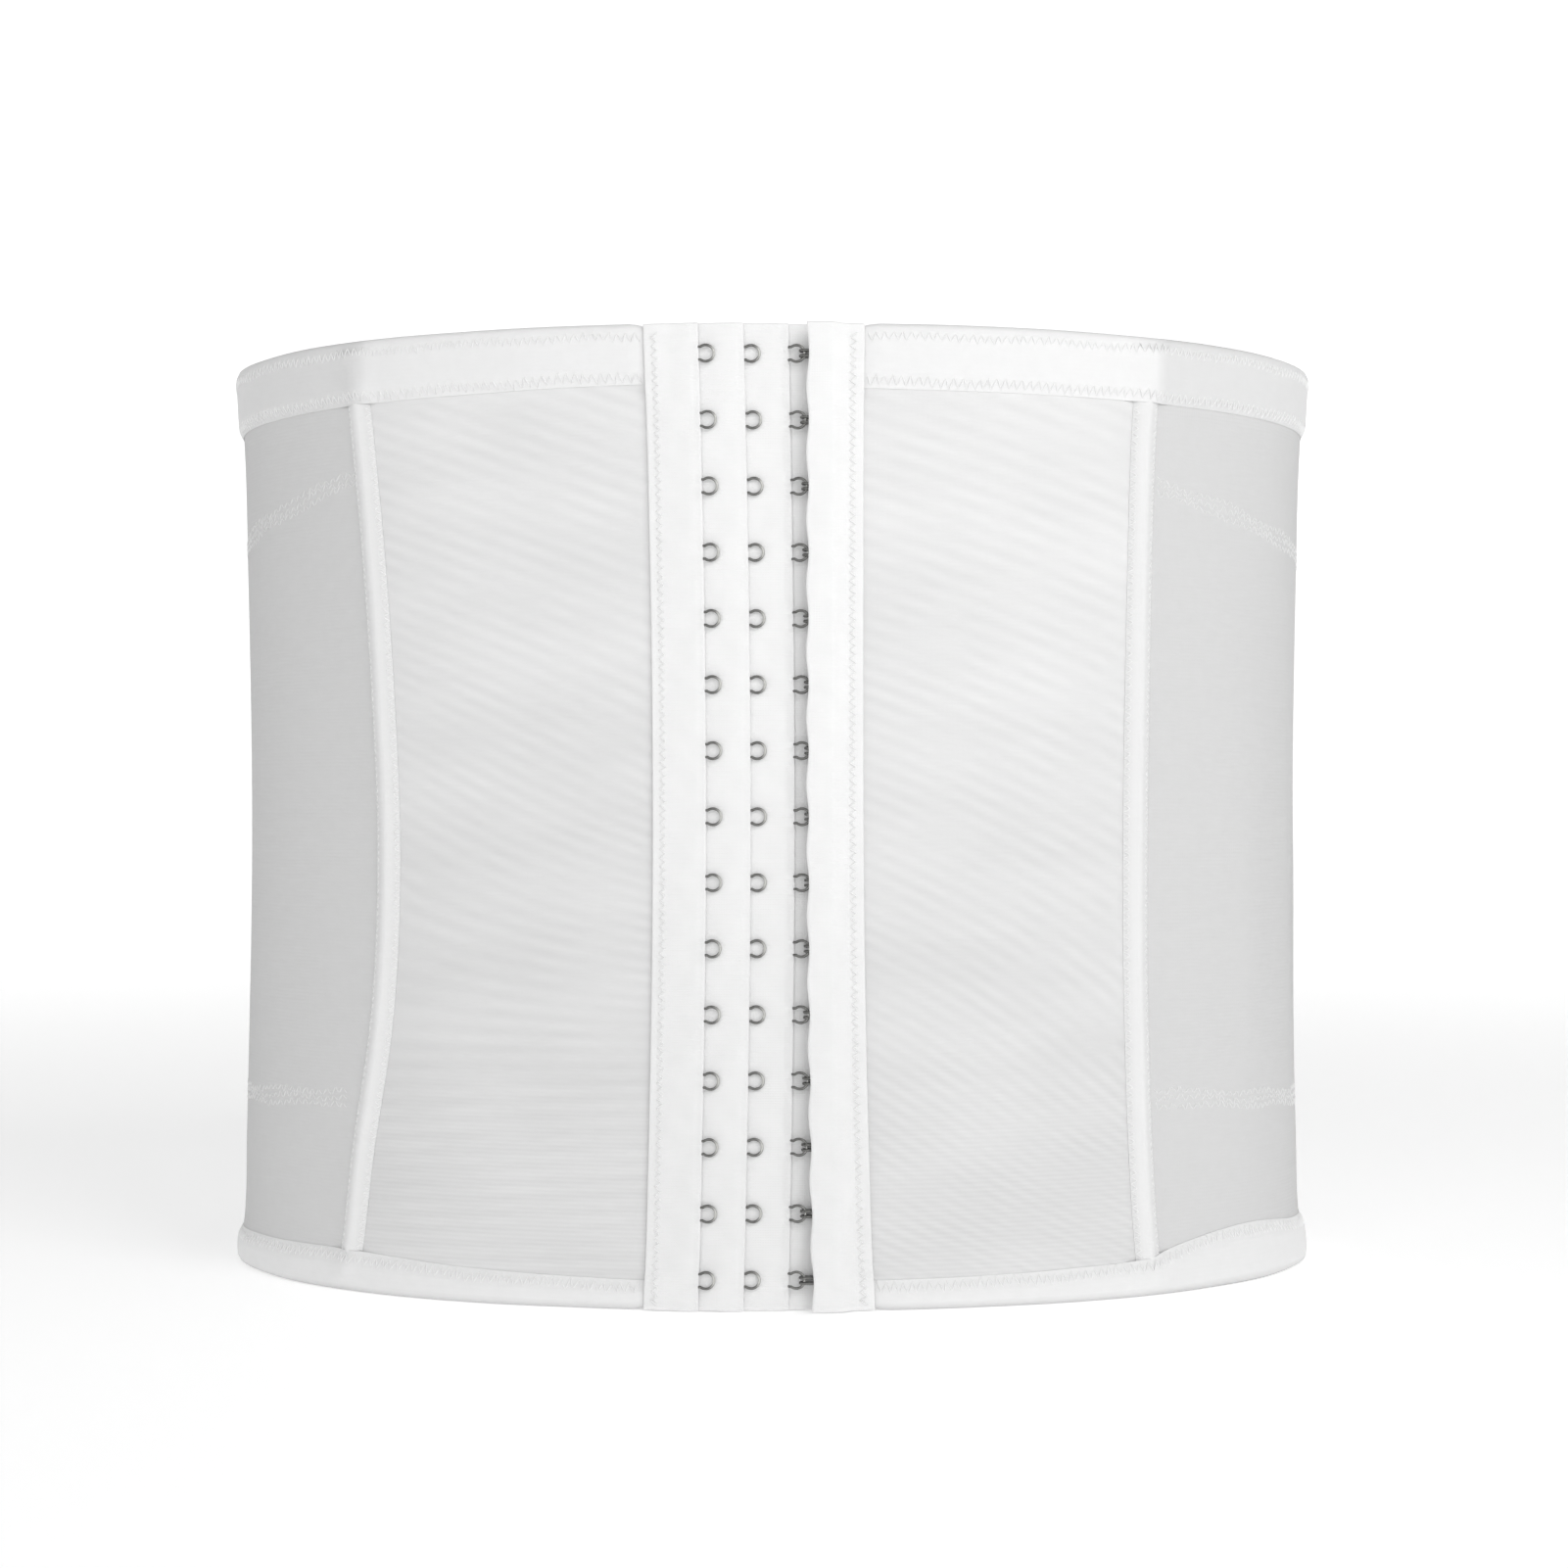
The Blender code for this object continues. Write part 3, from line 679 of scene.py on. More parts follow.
def power_mesh():
    """Power mesh: elastic net, warp knitted. It is matt, with fine level ribs, and where two
    layers lie on each other it shows broad faint slanting stripes."""
    material, shader = new_material(
        "warp knitted power mesh", Roughness=0.85, Specular_IOR_Level=0.25)
    if shader is None:
        return material
    place, split = cloth_place(material)
    height = split.outputs["Y"]
    phase = add_node(material, "Attribute", {"attribute_name": "stripe"})
    stripe = wave_of(material, phase.outputs["Fac"], 1.0)
    cloud = add_node(material, "TexNoise", {"noise_dimensions": "2D"},
                     {"Vector": place, "Scale": STRIPE_CLOUDS_PER_METRE, "Detail": 3.0})
    uneven = add_node(material, "MapRange", {},
                      {"Value": cloud, "From Min": NOISE_REACH[0], "From Max": NOISE_REACH[1],
                       "To Min": STRIPE_STRENGTHS[0], "To Max": STRIPE_STRENGTHS[1]})
    faint = add_node(material, "Math", {"operation": "MULTIPLY"}, {0: stripe, 1: uneven})
    rib_mask = add_node(material, "MapRange", {"interpolation_type": "SMOOTHSTEP"},
                        {"Value": height, "From Min": RIB_FADE[0], "From Max": RIB_FADE[1],
                         "To Min": RIB_STRENGTH, "To Max": 0.0})
    ribs = add_node(material, "Math", {"operation": "MULTIPLY_ADD"},
                    {0: wave_of(material, height, MESH_RIB), 1: rib_mask, 2: faint})
    amount = add_node(material, "MapRange", {},
                      {"Value": ribs, "From Min": -STRIPE_REACH, "From Max": STRIPE_REACH})
    tint = add_node(material, "Mix", {"data_type": "RGBA"},
                    {"Factor": amount, "A": shaded(colours().mesh, STRIPE_SHADE),
                     "B": shaded(colours().mesh)})
    # Painted shade: the net darker towards its foot
    painted_foot_shade = add_node(material, "MapRange", {"interpolation_type": "SMOOTHSTEP"},
                       {"Value": height, "From Min": MESH_FOOT_SHADE_FADE[0], "From Max": MESH_FOOT_SHADE_FADE[1],
                        "To Min": MESH_FOOT_PAINTED_SHADE, "To Max": 1.0})
    aslant = add_node(material, "Mapping", {},
                      {"Vector": place, "Rotation": (0.0, 0.0, PATCH_SLANT),
                       "Scale": PATCHES_PER_METRE})
    broad = add_node(material, "TexNoise", {"noise_dimensions": "2D"},
                     {"Vector": aslant, "Scale": 1.0, "Detail": 2.0})
    patches = add_node(material, "MapRange", {},
                       {"Value": broad, "From Min": NOISE_REACH[0], "From Max": NOISE_REACH[1],
                        "To Min": PATCH_SHADES[0], "To Max": PATCH_SHADES[1]})
    both = add_node(material, "Math", {"operation": "MULTIPLY"}, {0: painted_foot_shade, 1: patches})
    grey = add_node(material, "VectorMath", {"operation": "SCALE"},
                    {0: tint.outputs["Result"], "Scale": both})
    link(material, grey, shader.inputs["Base Color"])
    loops = knit(material, split, MESH_WALE, MESH_COURSE, MESH_WALE_SHARE)
    bump = add_node(material, "Bump", {},
                    {"Strength": MESH_RELIEF, "Distance": LOOP_DEPTH, "Height": loops})
    link(material, bump, shader.inputs["Normal"])
    return material


def plain_cloth(name, tone, wale, course, relief, mottle, **values):
    """A knitted or brushed cloth: its colour a little uneven, its loops as bumps. The piece's own
    attribute, which holds painted shade, says how light it is at each place."""
    material, shader = new_material(name, **values)
    if shader is None:
        return material
    place, split = cloth_place(material)
    cloud = add_node(material, "TexNoise", {"noise_dimensions": "2D"},
                     {"Vector": place, "Scale": CLOTH_CLOUDS_PER_METRE, "Detail": 4.0})
    tint = add_node(material, "Mix", {"data_type": "RGBA"},
                    {"Factor": cloud, "A": shaded(tone, 1 - mottle), "B": shaded(tone)})
    # Painted shade that each piece carries in its tone attribute
    own = add_node(material, "Attribute", {"attribute_name": "tone"})
    shade = add_node(material, "VectorMath", {"operation": "SCALE"},
                     {0: tint.outputs["Result"], "Scale": own.outputs["Fac"]})
    link(material, shade, shader.inputs["Base Color"])
    loops = knit(material, split, wale, course, PLAIN_WALE_SHARE)
    rough = add_node(material, "Math", {"operation": "MULTIPLY_ADD"},
                     {0: cloud, 1: CLOUD_HEIGHT, 2: loops})
    bump = add_node(material, "Bump", {},
                    {"Strength": relief, "Distance": LOOP_DEPTH, "Height": rough})
    link(material, bump, shader.inputs["Normal"])
    return material


def tricot():
    """Nylon tricot, brushed on its back: a smooth closed face with a soft sheen."""
    return plain_cloth("nylon tricot", colours().tricot, wale=0.9 * MM, course=1.1 * MM,
                       relief=0.12, mottle=0.03, Roughness=0.7, Specular_IOR_Level=0.15)


def channel_cloth():
    """The same tricot, stretched over a bone, which makes it brighter and smoother."""
    return plain_cloth("channel tricot", colours().channel, wale=0.9 * MM, course=0.9 * MM,
                       relief=0.15, mottle=0.02, Roughness=0.55, Sheen_Weight=0.1,
                       Sheen_Roughness=0.35)


def binding_cloth():
    """Binding knit: a dense soft rib that is folded over the raw ends."""
    return plain_cloth("knitted binding", colours().binding, wale=1.1 * MM, course=1.3 * MM,
                       relief=0.1, mottle=0.035, Roughness=0.75, Sheen_Weight=0.08,
                       Sheen_Roughness=0.5)


def tape_cloth():
    """Hook and eye tape: cotton and nylon plain weave, brushed, which looks like thin felt."""
    return plain_cloth("brushed closure tape", colours().tape, wale=0.7 * MM, course=0.7 * MM,
                       relief=0.18, mottle=0.02, Roughness=0.9, Sheen_Weight=0.1,
                       Sheen_Roughness=0.6)


# The yarn is darker in flecks, each about as long as it is thick
YARN_SHADE = 0.93
YARN_FLECKS_PER_METRE = 2500.0


def thread_material(name="polyester thread", shade=1.0):
    """Spun polyester sewing thread: a white round yarn with a dull shine, darker by a painted
    shade where it runs over the shaded side panels."""
    material, shader = new_material(name, Roughness=0.5, Sheen_Weight=0.2)
    if shader is None:
        return material
    place = add_node(material, "TexCoord")
    flecks = add_node(material, "TexNoise", {},
                      {"Vector": place.outputs["Object"], "Scale": YARN_FLECKS_PER_METRE,
                       "Detail": 2.0})
    base = shaded(colours().thread, shade)
    tint = add_node(material, "Mix", {"data_type": "RGBA"},
                    {"Factor": flecks, "A": shaded(base, YARN_SHADE), "B": base})
    link(material, tint.outputs["Result"], shader.inputs["Base Color"])
    return material


# Shares of the wire's colour in its painted shade and its painted highlight, and its scuffs
WIRE_PAINTED_SHADE = 0.7
WIRE_PAINTED_HIGHLIGHT = 3.6
SCUFFS_PER_METRE = 900.0
SCUFF_SHARE = 0.3
WIRE_ROUGHNESS = (0.3, 0.5)


def wire_material():
    """Nickel-plated steel wire, drawn and barrel finished: dull grey metal with fine scuffs, in
    painted shade, with painted highlights on the eyes' round ends and the hooks' straight parts."""
    material, shader = new_material("nickel plated steel wire", Metallic=1.0)
    if shader is None:
        return material
    place = add_node(material, "TexCoord")
    scuffs = add_node(material, "TexNoise", {},
                      {"Vector": place.outputs["Object"], "Scale": SCUFFS_PER_METRE, "Detail": 3.0})
    # Painted highlight: how bright the wire is drawn at each place
    painted_highlight = add_node(material, "Attribute", {"attribute_name": "painted_highlight"})
    uneven = add_node(material, "Math", {"operation": "MULTIPLY_ADD"},
                      {0: scuffs, 1: SCUFF_SHARE, 2: painted_highlight.outputs["Fac"]})
    tint = add_node(material, "Mix", {"data_type": "RGBA"},
                    {"Factor": uneven, "A": shaded(colours().steel, WIRE_PAINTED_SHADE),
                     "B": shaded(colours().steel, WIRE_PAINTED_HIGHLIGHT)})
    link(material, tint.outputs["Result"], shader.inputs["Base Color"])
    dull = add_node(material, "MapRange", {},
                    {"Value": scuffs, "To Min": WIRE_ROUGHNESS[0], "To Max": WIRE_ROUGHNESS[1]})
    link(material, dull, shader.inputs["Roughness"])
    return material


def settle(piece, slot, *nodes):
    """Let a piece ride on the belt and stand for these nodes. The slot is not used."""
    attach(piece, BODY)
    if nodes:
        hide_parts(*nodes)
    return piece


def after(line, gap=FIT_GAP):
    """The line that runs a gap to the right of an upright one, or above a level one."""
    return lambda height: line(height) + gap


def before(line, gap=FIT_GAP):
    """The line that runs a gap to the left of an upright one, or below a level one."""
    return after(line, -gap)


# The stripes of the two front panels and the back: height, then cycles per metre to the right
# and downwards
STRIPE = ("Stripe", "height across down")
LEFT_STRIPES = table(
    *STRIPE,
    (0.020, 12.0, 230.0),
    (0.060, 10.0, 200.0),
    (0.075, 0.0, 200.0),
    (0.095, -32.0, 195.0),
    (0.115, -60.0, 195.0),
    (0.145, -95.0, 200.0),
    (0.200, -80.0, 200.0),
    (0.265, -75.0, 200.0),
)
RIGHT_STRIPES = table(
    *STRIPE,
    (0.020, -140.0, 300.0),
    (0.055, -155.0, 230.0),
    (0.075, -140.0, 200.0),
    (0.095, -120.0, 190.0),
    (0.115, -105.0, 190.0),
    (0.145, -90.0, 190.0),
    (0.200, -68.0, 190.0),
    (0.265, -55.0, 180.0),
)
STRIPE_SAMPLES = 400


def stripe_phase(stripes, arcs, heights):
    """Cycles of the stripes: the share across times the arc from the middle, less the sum of
    the share down over the height."""
    known = np.array([row.height for row in stripes])
    levels = np.linspace(0.0, sizes().height, STRIPE_SAMPLES)
    down = np.interp(levels, known, [row.down for row in stripes])
    climbed = np.cumsum(down) * (levels[1] - levels[0])
    across = smooth_curve(heights, known, np.array([row.across for row in stripes]))
    return across * (arcs - arcs.mean()) - np.interp(heights, levels, climbed)


# Painted shade on the tricot: darker towards the middle of each side, turned from the front lights
SIDE_PAINTED_SHADE = 0.84
SIDE_SHADE_SPREAD = 45 * MM


class BELT_OT_panels(bpy.types.Operator):
    """Make the five cloth panels of the body"""
    bl_idname = "belt.panels"
    bl_label = "Panels"

    def execute(self, context):
        thick = sizes().fabric
        fold = thick + FIT_GAP
        low = fold
        high = sizes().height - fold
        mesh_borders = {
            "front_panel_left": (after(left_seam), left_panel_edge, LEFT_STRIPES),
            "front_panel_right": (right_panel_edge, before(right_seam), RIGHT_STRIPES),
            "back_panel": (after(right_back_seam), after(left_back_seam, girth() - FIT_GAP),
                           LEFT_STRIPES),
        }
        for node, (left, right, stripes) in mesh_borders.items():
            grid = upright_grid(left, right, low, high, PANEL_STEP, thick / 2)
            phase = stripe_phase(stripes, grid[0], grid[1])
            piece = wall(f"{node}_cloth", grid, 0.0, thick, power_mesh(), {"stripe": phase})
            settle(piece, "power_mesh", node)
        tricot_borders = {
            "side_panel_left": (after(left_back_seam), before(left_seam)),
            "side_panel_right": (after(right_seam), before(right_back_seam)),
        }
        for node, (left, right) in tricot_borders.items():
            grid = upright_grid(left, right, low, high, PANEL_STEP, thick / 2)
            # Painted shade towards the middle of each side panel
            side_shade = groove(np.abs(wrap(grid[0])) - girth() / 4, SIDE_SHADE_SPREAD)
            piece = wall(f"{node}_cloth", grid, 0.0, thick, tricot(),
                         {"tone": lessened(SIDE_PAINTED_SHADE, side_shade)})
            settle(piece, "tricot", node)
        return {"FINISHED"}


# Channels: how far their ends go under the bindings, the flange's full part, how thin and how low
# its border is, the bone's ridge, and the cloth that is cut for it
CHANNEL_TUCK = 2.5 * MM
FLANGE_FULL = 2.6 * MM
FLANGE_THINNING = 0.9
BORDER_SEAT = 0.05 * MM
RIDGE_WIDTH = 2.7 * MM
CHANNEL_STEP = 0.7 * MM
CHANNEL_STITCH = 3.5 * MM
CHANNEL_PITCH = 2.3 * MM
CHANNEL_ZIGZAG = 1.5 * MM
CHANNEL_STITCH_SINK = 0.13 * MM

# How light a channel's borders are, with painted shade on the border over the side panel, and
# the shares of its half width that this fades between
SIDE_FLANGE_PAINTED_SHADE = 0.9
SIDE_FLANGE_FADE = (0.1, 0.5)
FRONT_FLANGE_TONE = 0.95
FRONT_FLANGE_FADE = (0.3, 0.8)


def channel_top(seam):
    """Outer offset of a channel: over the seam a rounded ridge, at each side a flange that thins
    towards its border."""
    def level(arc, height):
        away = np.abs(arc - seam(height))
        turn = math.pi * np.clip(away / RIDGE_WIDTH, 0.0, 1.0)
        ridge = (sizes().channel_rise - sizes().flange) * (1 + np.cos(turn)) / 2
        down = ramp(away, FLANGE_FULL, sizes().channel / 2)
        flange = sizes().flange * (1 - FLANGE_THINNING * down) - (FIT_GAP - BORDER_SEAT) * down
        return sizes().fabric + FIT_GAP + flange + ridge
    return level


class BELT_OT_channels(bpy.types.Operator):
    """Make the four bone channels and the zigzag rows along their flanges"""
    bl_idname = "belt.channels"
    bl_label = "Bone channels"

    def execute(self, context):
        half = sizes().channel / 2
        for node, seam in SEAMS.items():
            foot = float(hem_edge(seam(0.0))) - CHANNEL_TUCK
            head = float(top_edge(seam(sizes().height))) + CHANNEL_TUCK
            grid = upright_grid(before(seam, half), after(seam, half), foot, head,
                                CHANNEL_STEP, sizes().flange / 2)
            away = grid[0] - seam(grid[1])
            sunk = (FIT_GAP - BORDER_SEAT) * ramp(np.abs(away), FLANGE_FULL, half)
            level = channel_top(seam)
            across = away / half * (1 if "right" in node else -1)
            # Painted shade on the border over the side panel, and a slightly darker front border
            tone = (lessened(SIDE_FLANGE_PAINTED_SHADE, ramp(across, *SIDE_FLANGE_FADE))
                    * lessened(FRONT_FLANGE_TONE, ramp(-across, *FRONT_FLANGE_FADE)))
            piece = wall(f"{node}_cloth", grid, sizes().fabric + FIT_GAP - sunk,
                         level(grid[0], grid[1]), channel_cloth(), {"tone": tone})
            settle(piece, "tricot", node)
            rows = [zigzag_up(foot + CHANNEL_TUCK, head - CHANNEL_TUCK, after(seam, side),
                              CHANNEL_PITCH, CHANNEL_ZIGZAG)
                    for side in (-CHANNEL_STITCH, CHANNEL_STITCH)]
            settle(stitched_rows(f"{node}_stitches", rows, level, thread_material(),
                                 CHANNEL_STITCH_SINK), "tricot")
        return {"FINISHED"}


# How the bindings rise over the channels, and how far from the free edge this fades
BAND_RELIEF = 2.05 * MM
RELIEF_WIDTH = 4.1 * MM
FOLD_RELIEF = 0.55
RELIEF_FADE = (2 * MM, 12 * MM)
RELIEF_START = 2 * MM

# How thin they are at the free edge and at the ends, and over what width
EDGE_SHARE = 0.15
EDGE_RAMP = 4.5 * MM
EDGE_SINK = 0.27 * MM
END_SHARE = 0.25
END_RAMP = 5.0 * MM
BAND_ROUNDING = 0.6 * MM
BAND_CROSS_STEP = 1.1 * MM

# Their rows of zigzag: one near the top band's fold and one along each free edge
STITCH_END = 2 * MM
TOP_STITCH_DROP = 4.0 * MM
TOP_STITCH_TALL = 2.8 * MM
LOWER_STITCH_INSET = 2.2 * MM
LOWER_STITCH_TALL = 3.2 * MM
BAND_PITCH = 2.5 * MM
BAND_WANDER = 0.25 * MM
BAND_STITCH_SINK = 0.08 * MM


def binding_span(fold):
    """Arcs of a binding's ends at its fold, which the flap and the eye tapes lie between."""
    return float(flap_sewn(fold)), float(closure_left(fold)) + girth()


def binding_thinning(free, inward, arc, height):
    """The share of its thickness that a binding keeps: less towards its free edge, where the
    zigzag presses it flat, and less towards its ends, which the closure covers."""
    start, end = binding_span(0.0 if inward > 0 else sizes().height)
    from_edge = inward * (free(arc) - height)
    from_end = np.minimum(arc - start, end - arc)
    at_edge = lessened(EDGE_SHARE, 1 - ramp(from_edge, 0.0, EDGE_RAMP))
    return at_edge, lessened(END_SHARE, 1 - ramp(from_end, 0.0, END_RAMP))


def binding_relief(free, inward, arc, height):
    """How far a binding is raised by the channels under it: a bell across each channel, full at
    the free edge and less towards the fold."""
    from_edge = inward * (free(arc) - height)
    fade = lessened(FOLD_RELIEF, ramp(from_edge, *RELIEF_FADE))
    rise = np.zeros(np.broadcast(arc, height).shape)
    for seam in SEAMS.values():
        away = wrap(arc - seam(height)) / RELIEF_WIDTH
        rise = rise + BAND_RELIEF * np.exp(-away ** 2) * fade
    return rise


def binding_level(free, inward):
    """Outer offset of a binding's outer face."""
    def level(arc, height):
        at_edge, at_end = binding_thinning(free, inward, arc, height)
        sunk = EDGE_SINK * (1 - at_edge) / (1 - EDGE_SHARE)
        return (sizes().fabric + FIT_GAP + sizes().fabric * at_edge * at_end - sunk
                + binding_relief(free, inward, arc, height))
    return level


# Painted shade on the bindings: how light they are over the side panels, on the hem and where
# the hem is folded under, and the distances that this fades between
TOP_SIDE_PAINTED_SHADE = 0.85
HEM_SIDE_PAINTED_SHADE = 0.98
HEM_PAINTED_SHADE = 0.95
HEM_FOLD_PAINTED_SHADE = 0.72
FRONT_SHADE_FADE = (2 * MM, 8 * MM)
BACK_SHADE_FADE = (0.0, 6 * MM)
HEM_FOLD_SHADE_FADE = (0.0, 2.6 * MM)


def binding_painted_shade(arc, height, painted_side_shade):
    """How light a binding is, all of it painted shade: full over the mesh panels, less over the
    side panels, a little less on the hem, and darkest where the hem is folded under, next to the
    floor."""
    place = wrap(arc)
    beside_front = np.where(place < 0, -place - sizes().left_seam, place - sizes().right_seam)
    beside_back = girth() / 2 - sizes().back_seam - np.abs(place)
    side = ramp(beside_front, *FRONT_SHADE_FADE) * ramp(beside_back, *BACK_SHADE_FADE)
    hem = lessened(HEM_PAINTED_SHADE, height < sizes().height / 2)
    # Painted shadow where the hem folds under, next to the floor
    fold = lessened(HEM_FOLD_PAINTED_SHADE, 1 - ramp(height, *HEM_FOLD_SHADE_FADE))
    return lessened(painted_side_shade, side) * hem * fold


def binding(node, free, fold, inward, painted_side_shade):
    """A tape folded over the belt's end: in section two legs and a half circle between them,
    with half its thickness on each side of that line."""
    start, end = binding_span(fold)
    arcs = spaced(start + FIT_GAP, end - FIT_GAP, BAND_STEP, BAND_ROUNDING)
    tall = np.abs(free(arcs) - fold)
    half = sizes().fabric / 2
    low = -FIT_GAP - half
    high = sizes().fabric + FIT_GAP + half
    radius = (high - low) / 2
    leg = tall - half - radius
    reach = leg + math.pi * radius / 2
    steps = spaced(-1.0, 1.0, BAND_CROSS_STEP / reach.mean(), half / reach.mean())
    along = steps[:, None] * reach
    turn = np.clip(along / radius, -math.pi / 2, math.pi / 2)
    straight = np.clip(np.abs(along) - math.pi * radius / 2, 0.0, None)
    offset = (low + high) / 2 + radius * np.sin(turn)
    depth = half + radius * (1 - np.cos(turn)) + straight
    height = fold + inward * depth
    across = np.broadcast_to(arcs, height.shape)
    at_edge, at_end = binding_thinning(free, inward, across, height)
    keep = at_edge * at_end
    relief = binding_relief(free, inward, across, height)
    relief = relief * ramp(straight, 0.0, RELIEF_START) * (along > 0)
    sink = (1 - keep) * half + EDGE_SINK * (1 - at_edge) / (1 - EDGE_SHARE)
    offset = offset + relief - sink * np.sin(turn)
    height = height + inward * sink * np.cos(turn)
    thick = np.outer(fullness(steps, half / reach.mean()), fullness(arcs, BAND_ROUNDING))
    thick = thick * keep * half

    def face(side):
        return belt_point(across, height - side * inward * thick * np.cos(turn),
                          offset + side * thick * np.sin(turn))

    outside = face(1)[::inward]
    inside = face(-1)[::inward]
    uv = np.stack([across, along[::inward]], axis=-1)
    piece = closed_sheet(f"{node}_cloth", outside, inside, uv, binding_cloth(),
                         {"tone": binding_painted_shade(across, height[::inward], painted_side_shade)})
    settle(piece, "binding", node)
    return binding_level(free, inward)


class BELT_OT_bindings(bpy.types.Operator):
    """Make the top band and the bottom hem, with their rows of zigzag"""
    bl_idname = "belt.bindings"
    bl_label = "Bindings"

    def execute(self, context):
        top = sizes().height

        def near_fold(arc):
            return np.full(arc.shape, top - TOP_STITCH_DROP)

        bands = {
            "top_band": (top_edge, top, -1, TOP_SIDE_PAINTED_SHADE, [
                (near_fold, TOP_STITCH_TALL, 1),
                (after(top_edge, LOWER_STITCH_INSET), LOWER_STITCH_TALL, 2)]),
            "bottom_hem": (hem_edge, 0.0, 1, HEM_SIDE_PAINTED_SHADE, [
                (before(hem_edge, LOWER_STITCH_INSET), LOWER_STITCH_TALL, 3)]),
        }
        for node, (free, fold, inward, painted_side_shade, lines) in bands.items():
            start, end = binding_span(fold)
            level = binding(node, free, fold, inward, painted_side_shade)
            rows = [zigzag_across(start + STITCH_END, end - STITCH_END, middle, BAND_PITCH,
                                  tall, BAND_WANDER, seed) for middle, tall, seed in lines]
            settle(stitched_rows(f"{node}_stitches", rows, level, thread_material(),
                                 BAND_STITCH_SINK), "binding")
        return {"FINISHED"}


# The triple zigzag lines of the inner band, which show as stitches on the side panels
INNER_BAND_ROWS = 3
INNER_BAND_GAP = 2.0 * MM
INNER_BAND_TALL = 2.3 * MM
INNER_BAND_PITCH = 3.4 * MM
INNER_BAND_WANDER = 0.5 * MM
INNER_BAND_SINK = 0.19 * MM
# Painted shade that darkens the thread to match the shaded side panels
INNER_BAND_PAINTED_SHADE = 0.9

# Where they run: an arc halfway round each side, what the flare makes of the front seams' arcs,
# how far they keep from the channels, and how much sooner the lower left one ends
INNER_BAND_SIDE = 190 * MM
LEFT_SEAM_FLARE = 1.03
RIGHT_SEAM_FLARE = 1.01
FRONT_CLEARANCE = MM
BACK_CLEARANCE = 3 * MM
LOW_LEFT_END = 6 * MM

# Heights of the left lines and the right lines at three places, from left to right
LEFT_LINE_HEIGHTS = ((0.224, 0.232, 0.245), (0.052, 0.055, 0.058))
RIGHT_LINE_HEIGHTS = ((0.241, 0.228, 0.220), (0.0585, 0.054, 0.051))


def inner_lines():
    """Arcs and heights of the four lines, from each front channel round to the back channel."""
    half = sizes().channel / 2
    front = half + FRONT_CLEARANCE
    back = girth() / 2 - sizes().back_seam - half - BACK_CLEARANCE
    left_end = -sizes().left_seam * LEFT_SEAM_FLARE - front
    right_start = sizes().right_seam * RIGHT_SEAM_FLARE + front
    left_arcs = ((-back, -INNER_BAND_SIDE, left_end),
                 (-back, -INNER_BAND_SIDE, left_end - LOW_LEFT_END))
    right_arcs = (right_start, INNER_BAND_SIDE, back)
    return [*zip(left_arcs, LEFT_LINE_HEIGHTS),
            *((right_arcs, heights) for heights in RIGHT_LINE_HEIGHTS)]


class BELT_OT_inner_band_stitches(bpy.types.Operator):
    """Make the triple zigzag lines that hold the inner band to the side panels"""
    bl_idname = "belt.inner_band_stitches"
    bl_label = "Inner band stitches"

    def execute(self, context):
        rows = []
        for arcs, heights in inner_lines():
            line = functools.partial(smooth_curve, known=np.array(arcs), values=np.array(heights))
            for row in range(INNER_BAND_ROWS):
                middle = after(line, (row - 1) * INNER_BAND_GAP)
                rows.append(zigzag_across(arcs[0], arcs[-1], middle, INNER_BAND_PITCH,
                                          INNER_BAND_TALL, INNER_BAND_WANDER, len(rows)))

        def level(arc, height):
            return np.full(np.shape(arc), sizes().fabric)

        thread = thread_material("polyester thread in painted side shade", INNER_BAND_PAINTED_SHADE)
        settle(stitched_rows("inner_band_stitches", rows, level, thread, INNER_BAND_SINK),
               "tricot")
        return {"FINISHED"}


# Painted shade on the closure: how light it is at its foot, up to where, and its patches of
# painted pucker shade, with the waves that make them
TAPE_FOOT_PAINTED_SHADE = 0.93
TAPE_FOOT_FADE = (0.02, 0.2)
PUCKER_PAINTED_SHADE = 0.012
PATCH_ACROSS = 2.1 * MM
PATCH_DOWN = 5 * MM
PATCH_TALL = 3.1 * MM


def tape_painted_shade(arc, height):
    """How light the closure's cloth is, as painted shade: a little greyer towards its foot, with
    faint patches of shade as from puckers, which are the product of two slow waves."""
    foot = lessened(TAPE_FOOT_PAINTED_SHADE, 1 - ramp(height, *TAPE_FOOT_FADE))
    patches = np.sin(arc / PATCH_ACROSS + height / PATCH_DOWN) * np.sin(height / PATCH_TALL)
    return {"tone": foot + PUCKER_PAINTED_SHADE * patches}


def tape_width(column):
    """First tape: from the closure's left border. The others start under the one before."""
    if column == 0:
        return sizes().closure - sizes().first_edge
    return sizes().column_pitch + TAPE_OVERLAP


def tape_level(column, place):
    """Offset of a tape's inner face, where place is the distance left of its right edge: on the
    ground at its left, then over the next tape's left edge, then on that tape."""
    ground = sizes().tape + FIT_GAP
    if column == EYE_COLUMNS - 1:
        return np.full(np.shape(place), ground)
    layer = sizes().tape + FIT_GAP
    foot = sizes().fabric + FIT_GAP if column == 0 else ground
    over = tape_level(column + 1, tape_width(column + 1)) + layer
    top = tape_level(column + 1, sizes().column_pitch) + layer
    places = (0.0, TAPE_OVERLAP + sizes().tape, tape_width(column))
    return np.interp(place, places, (top, over, foot))


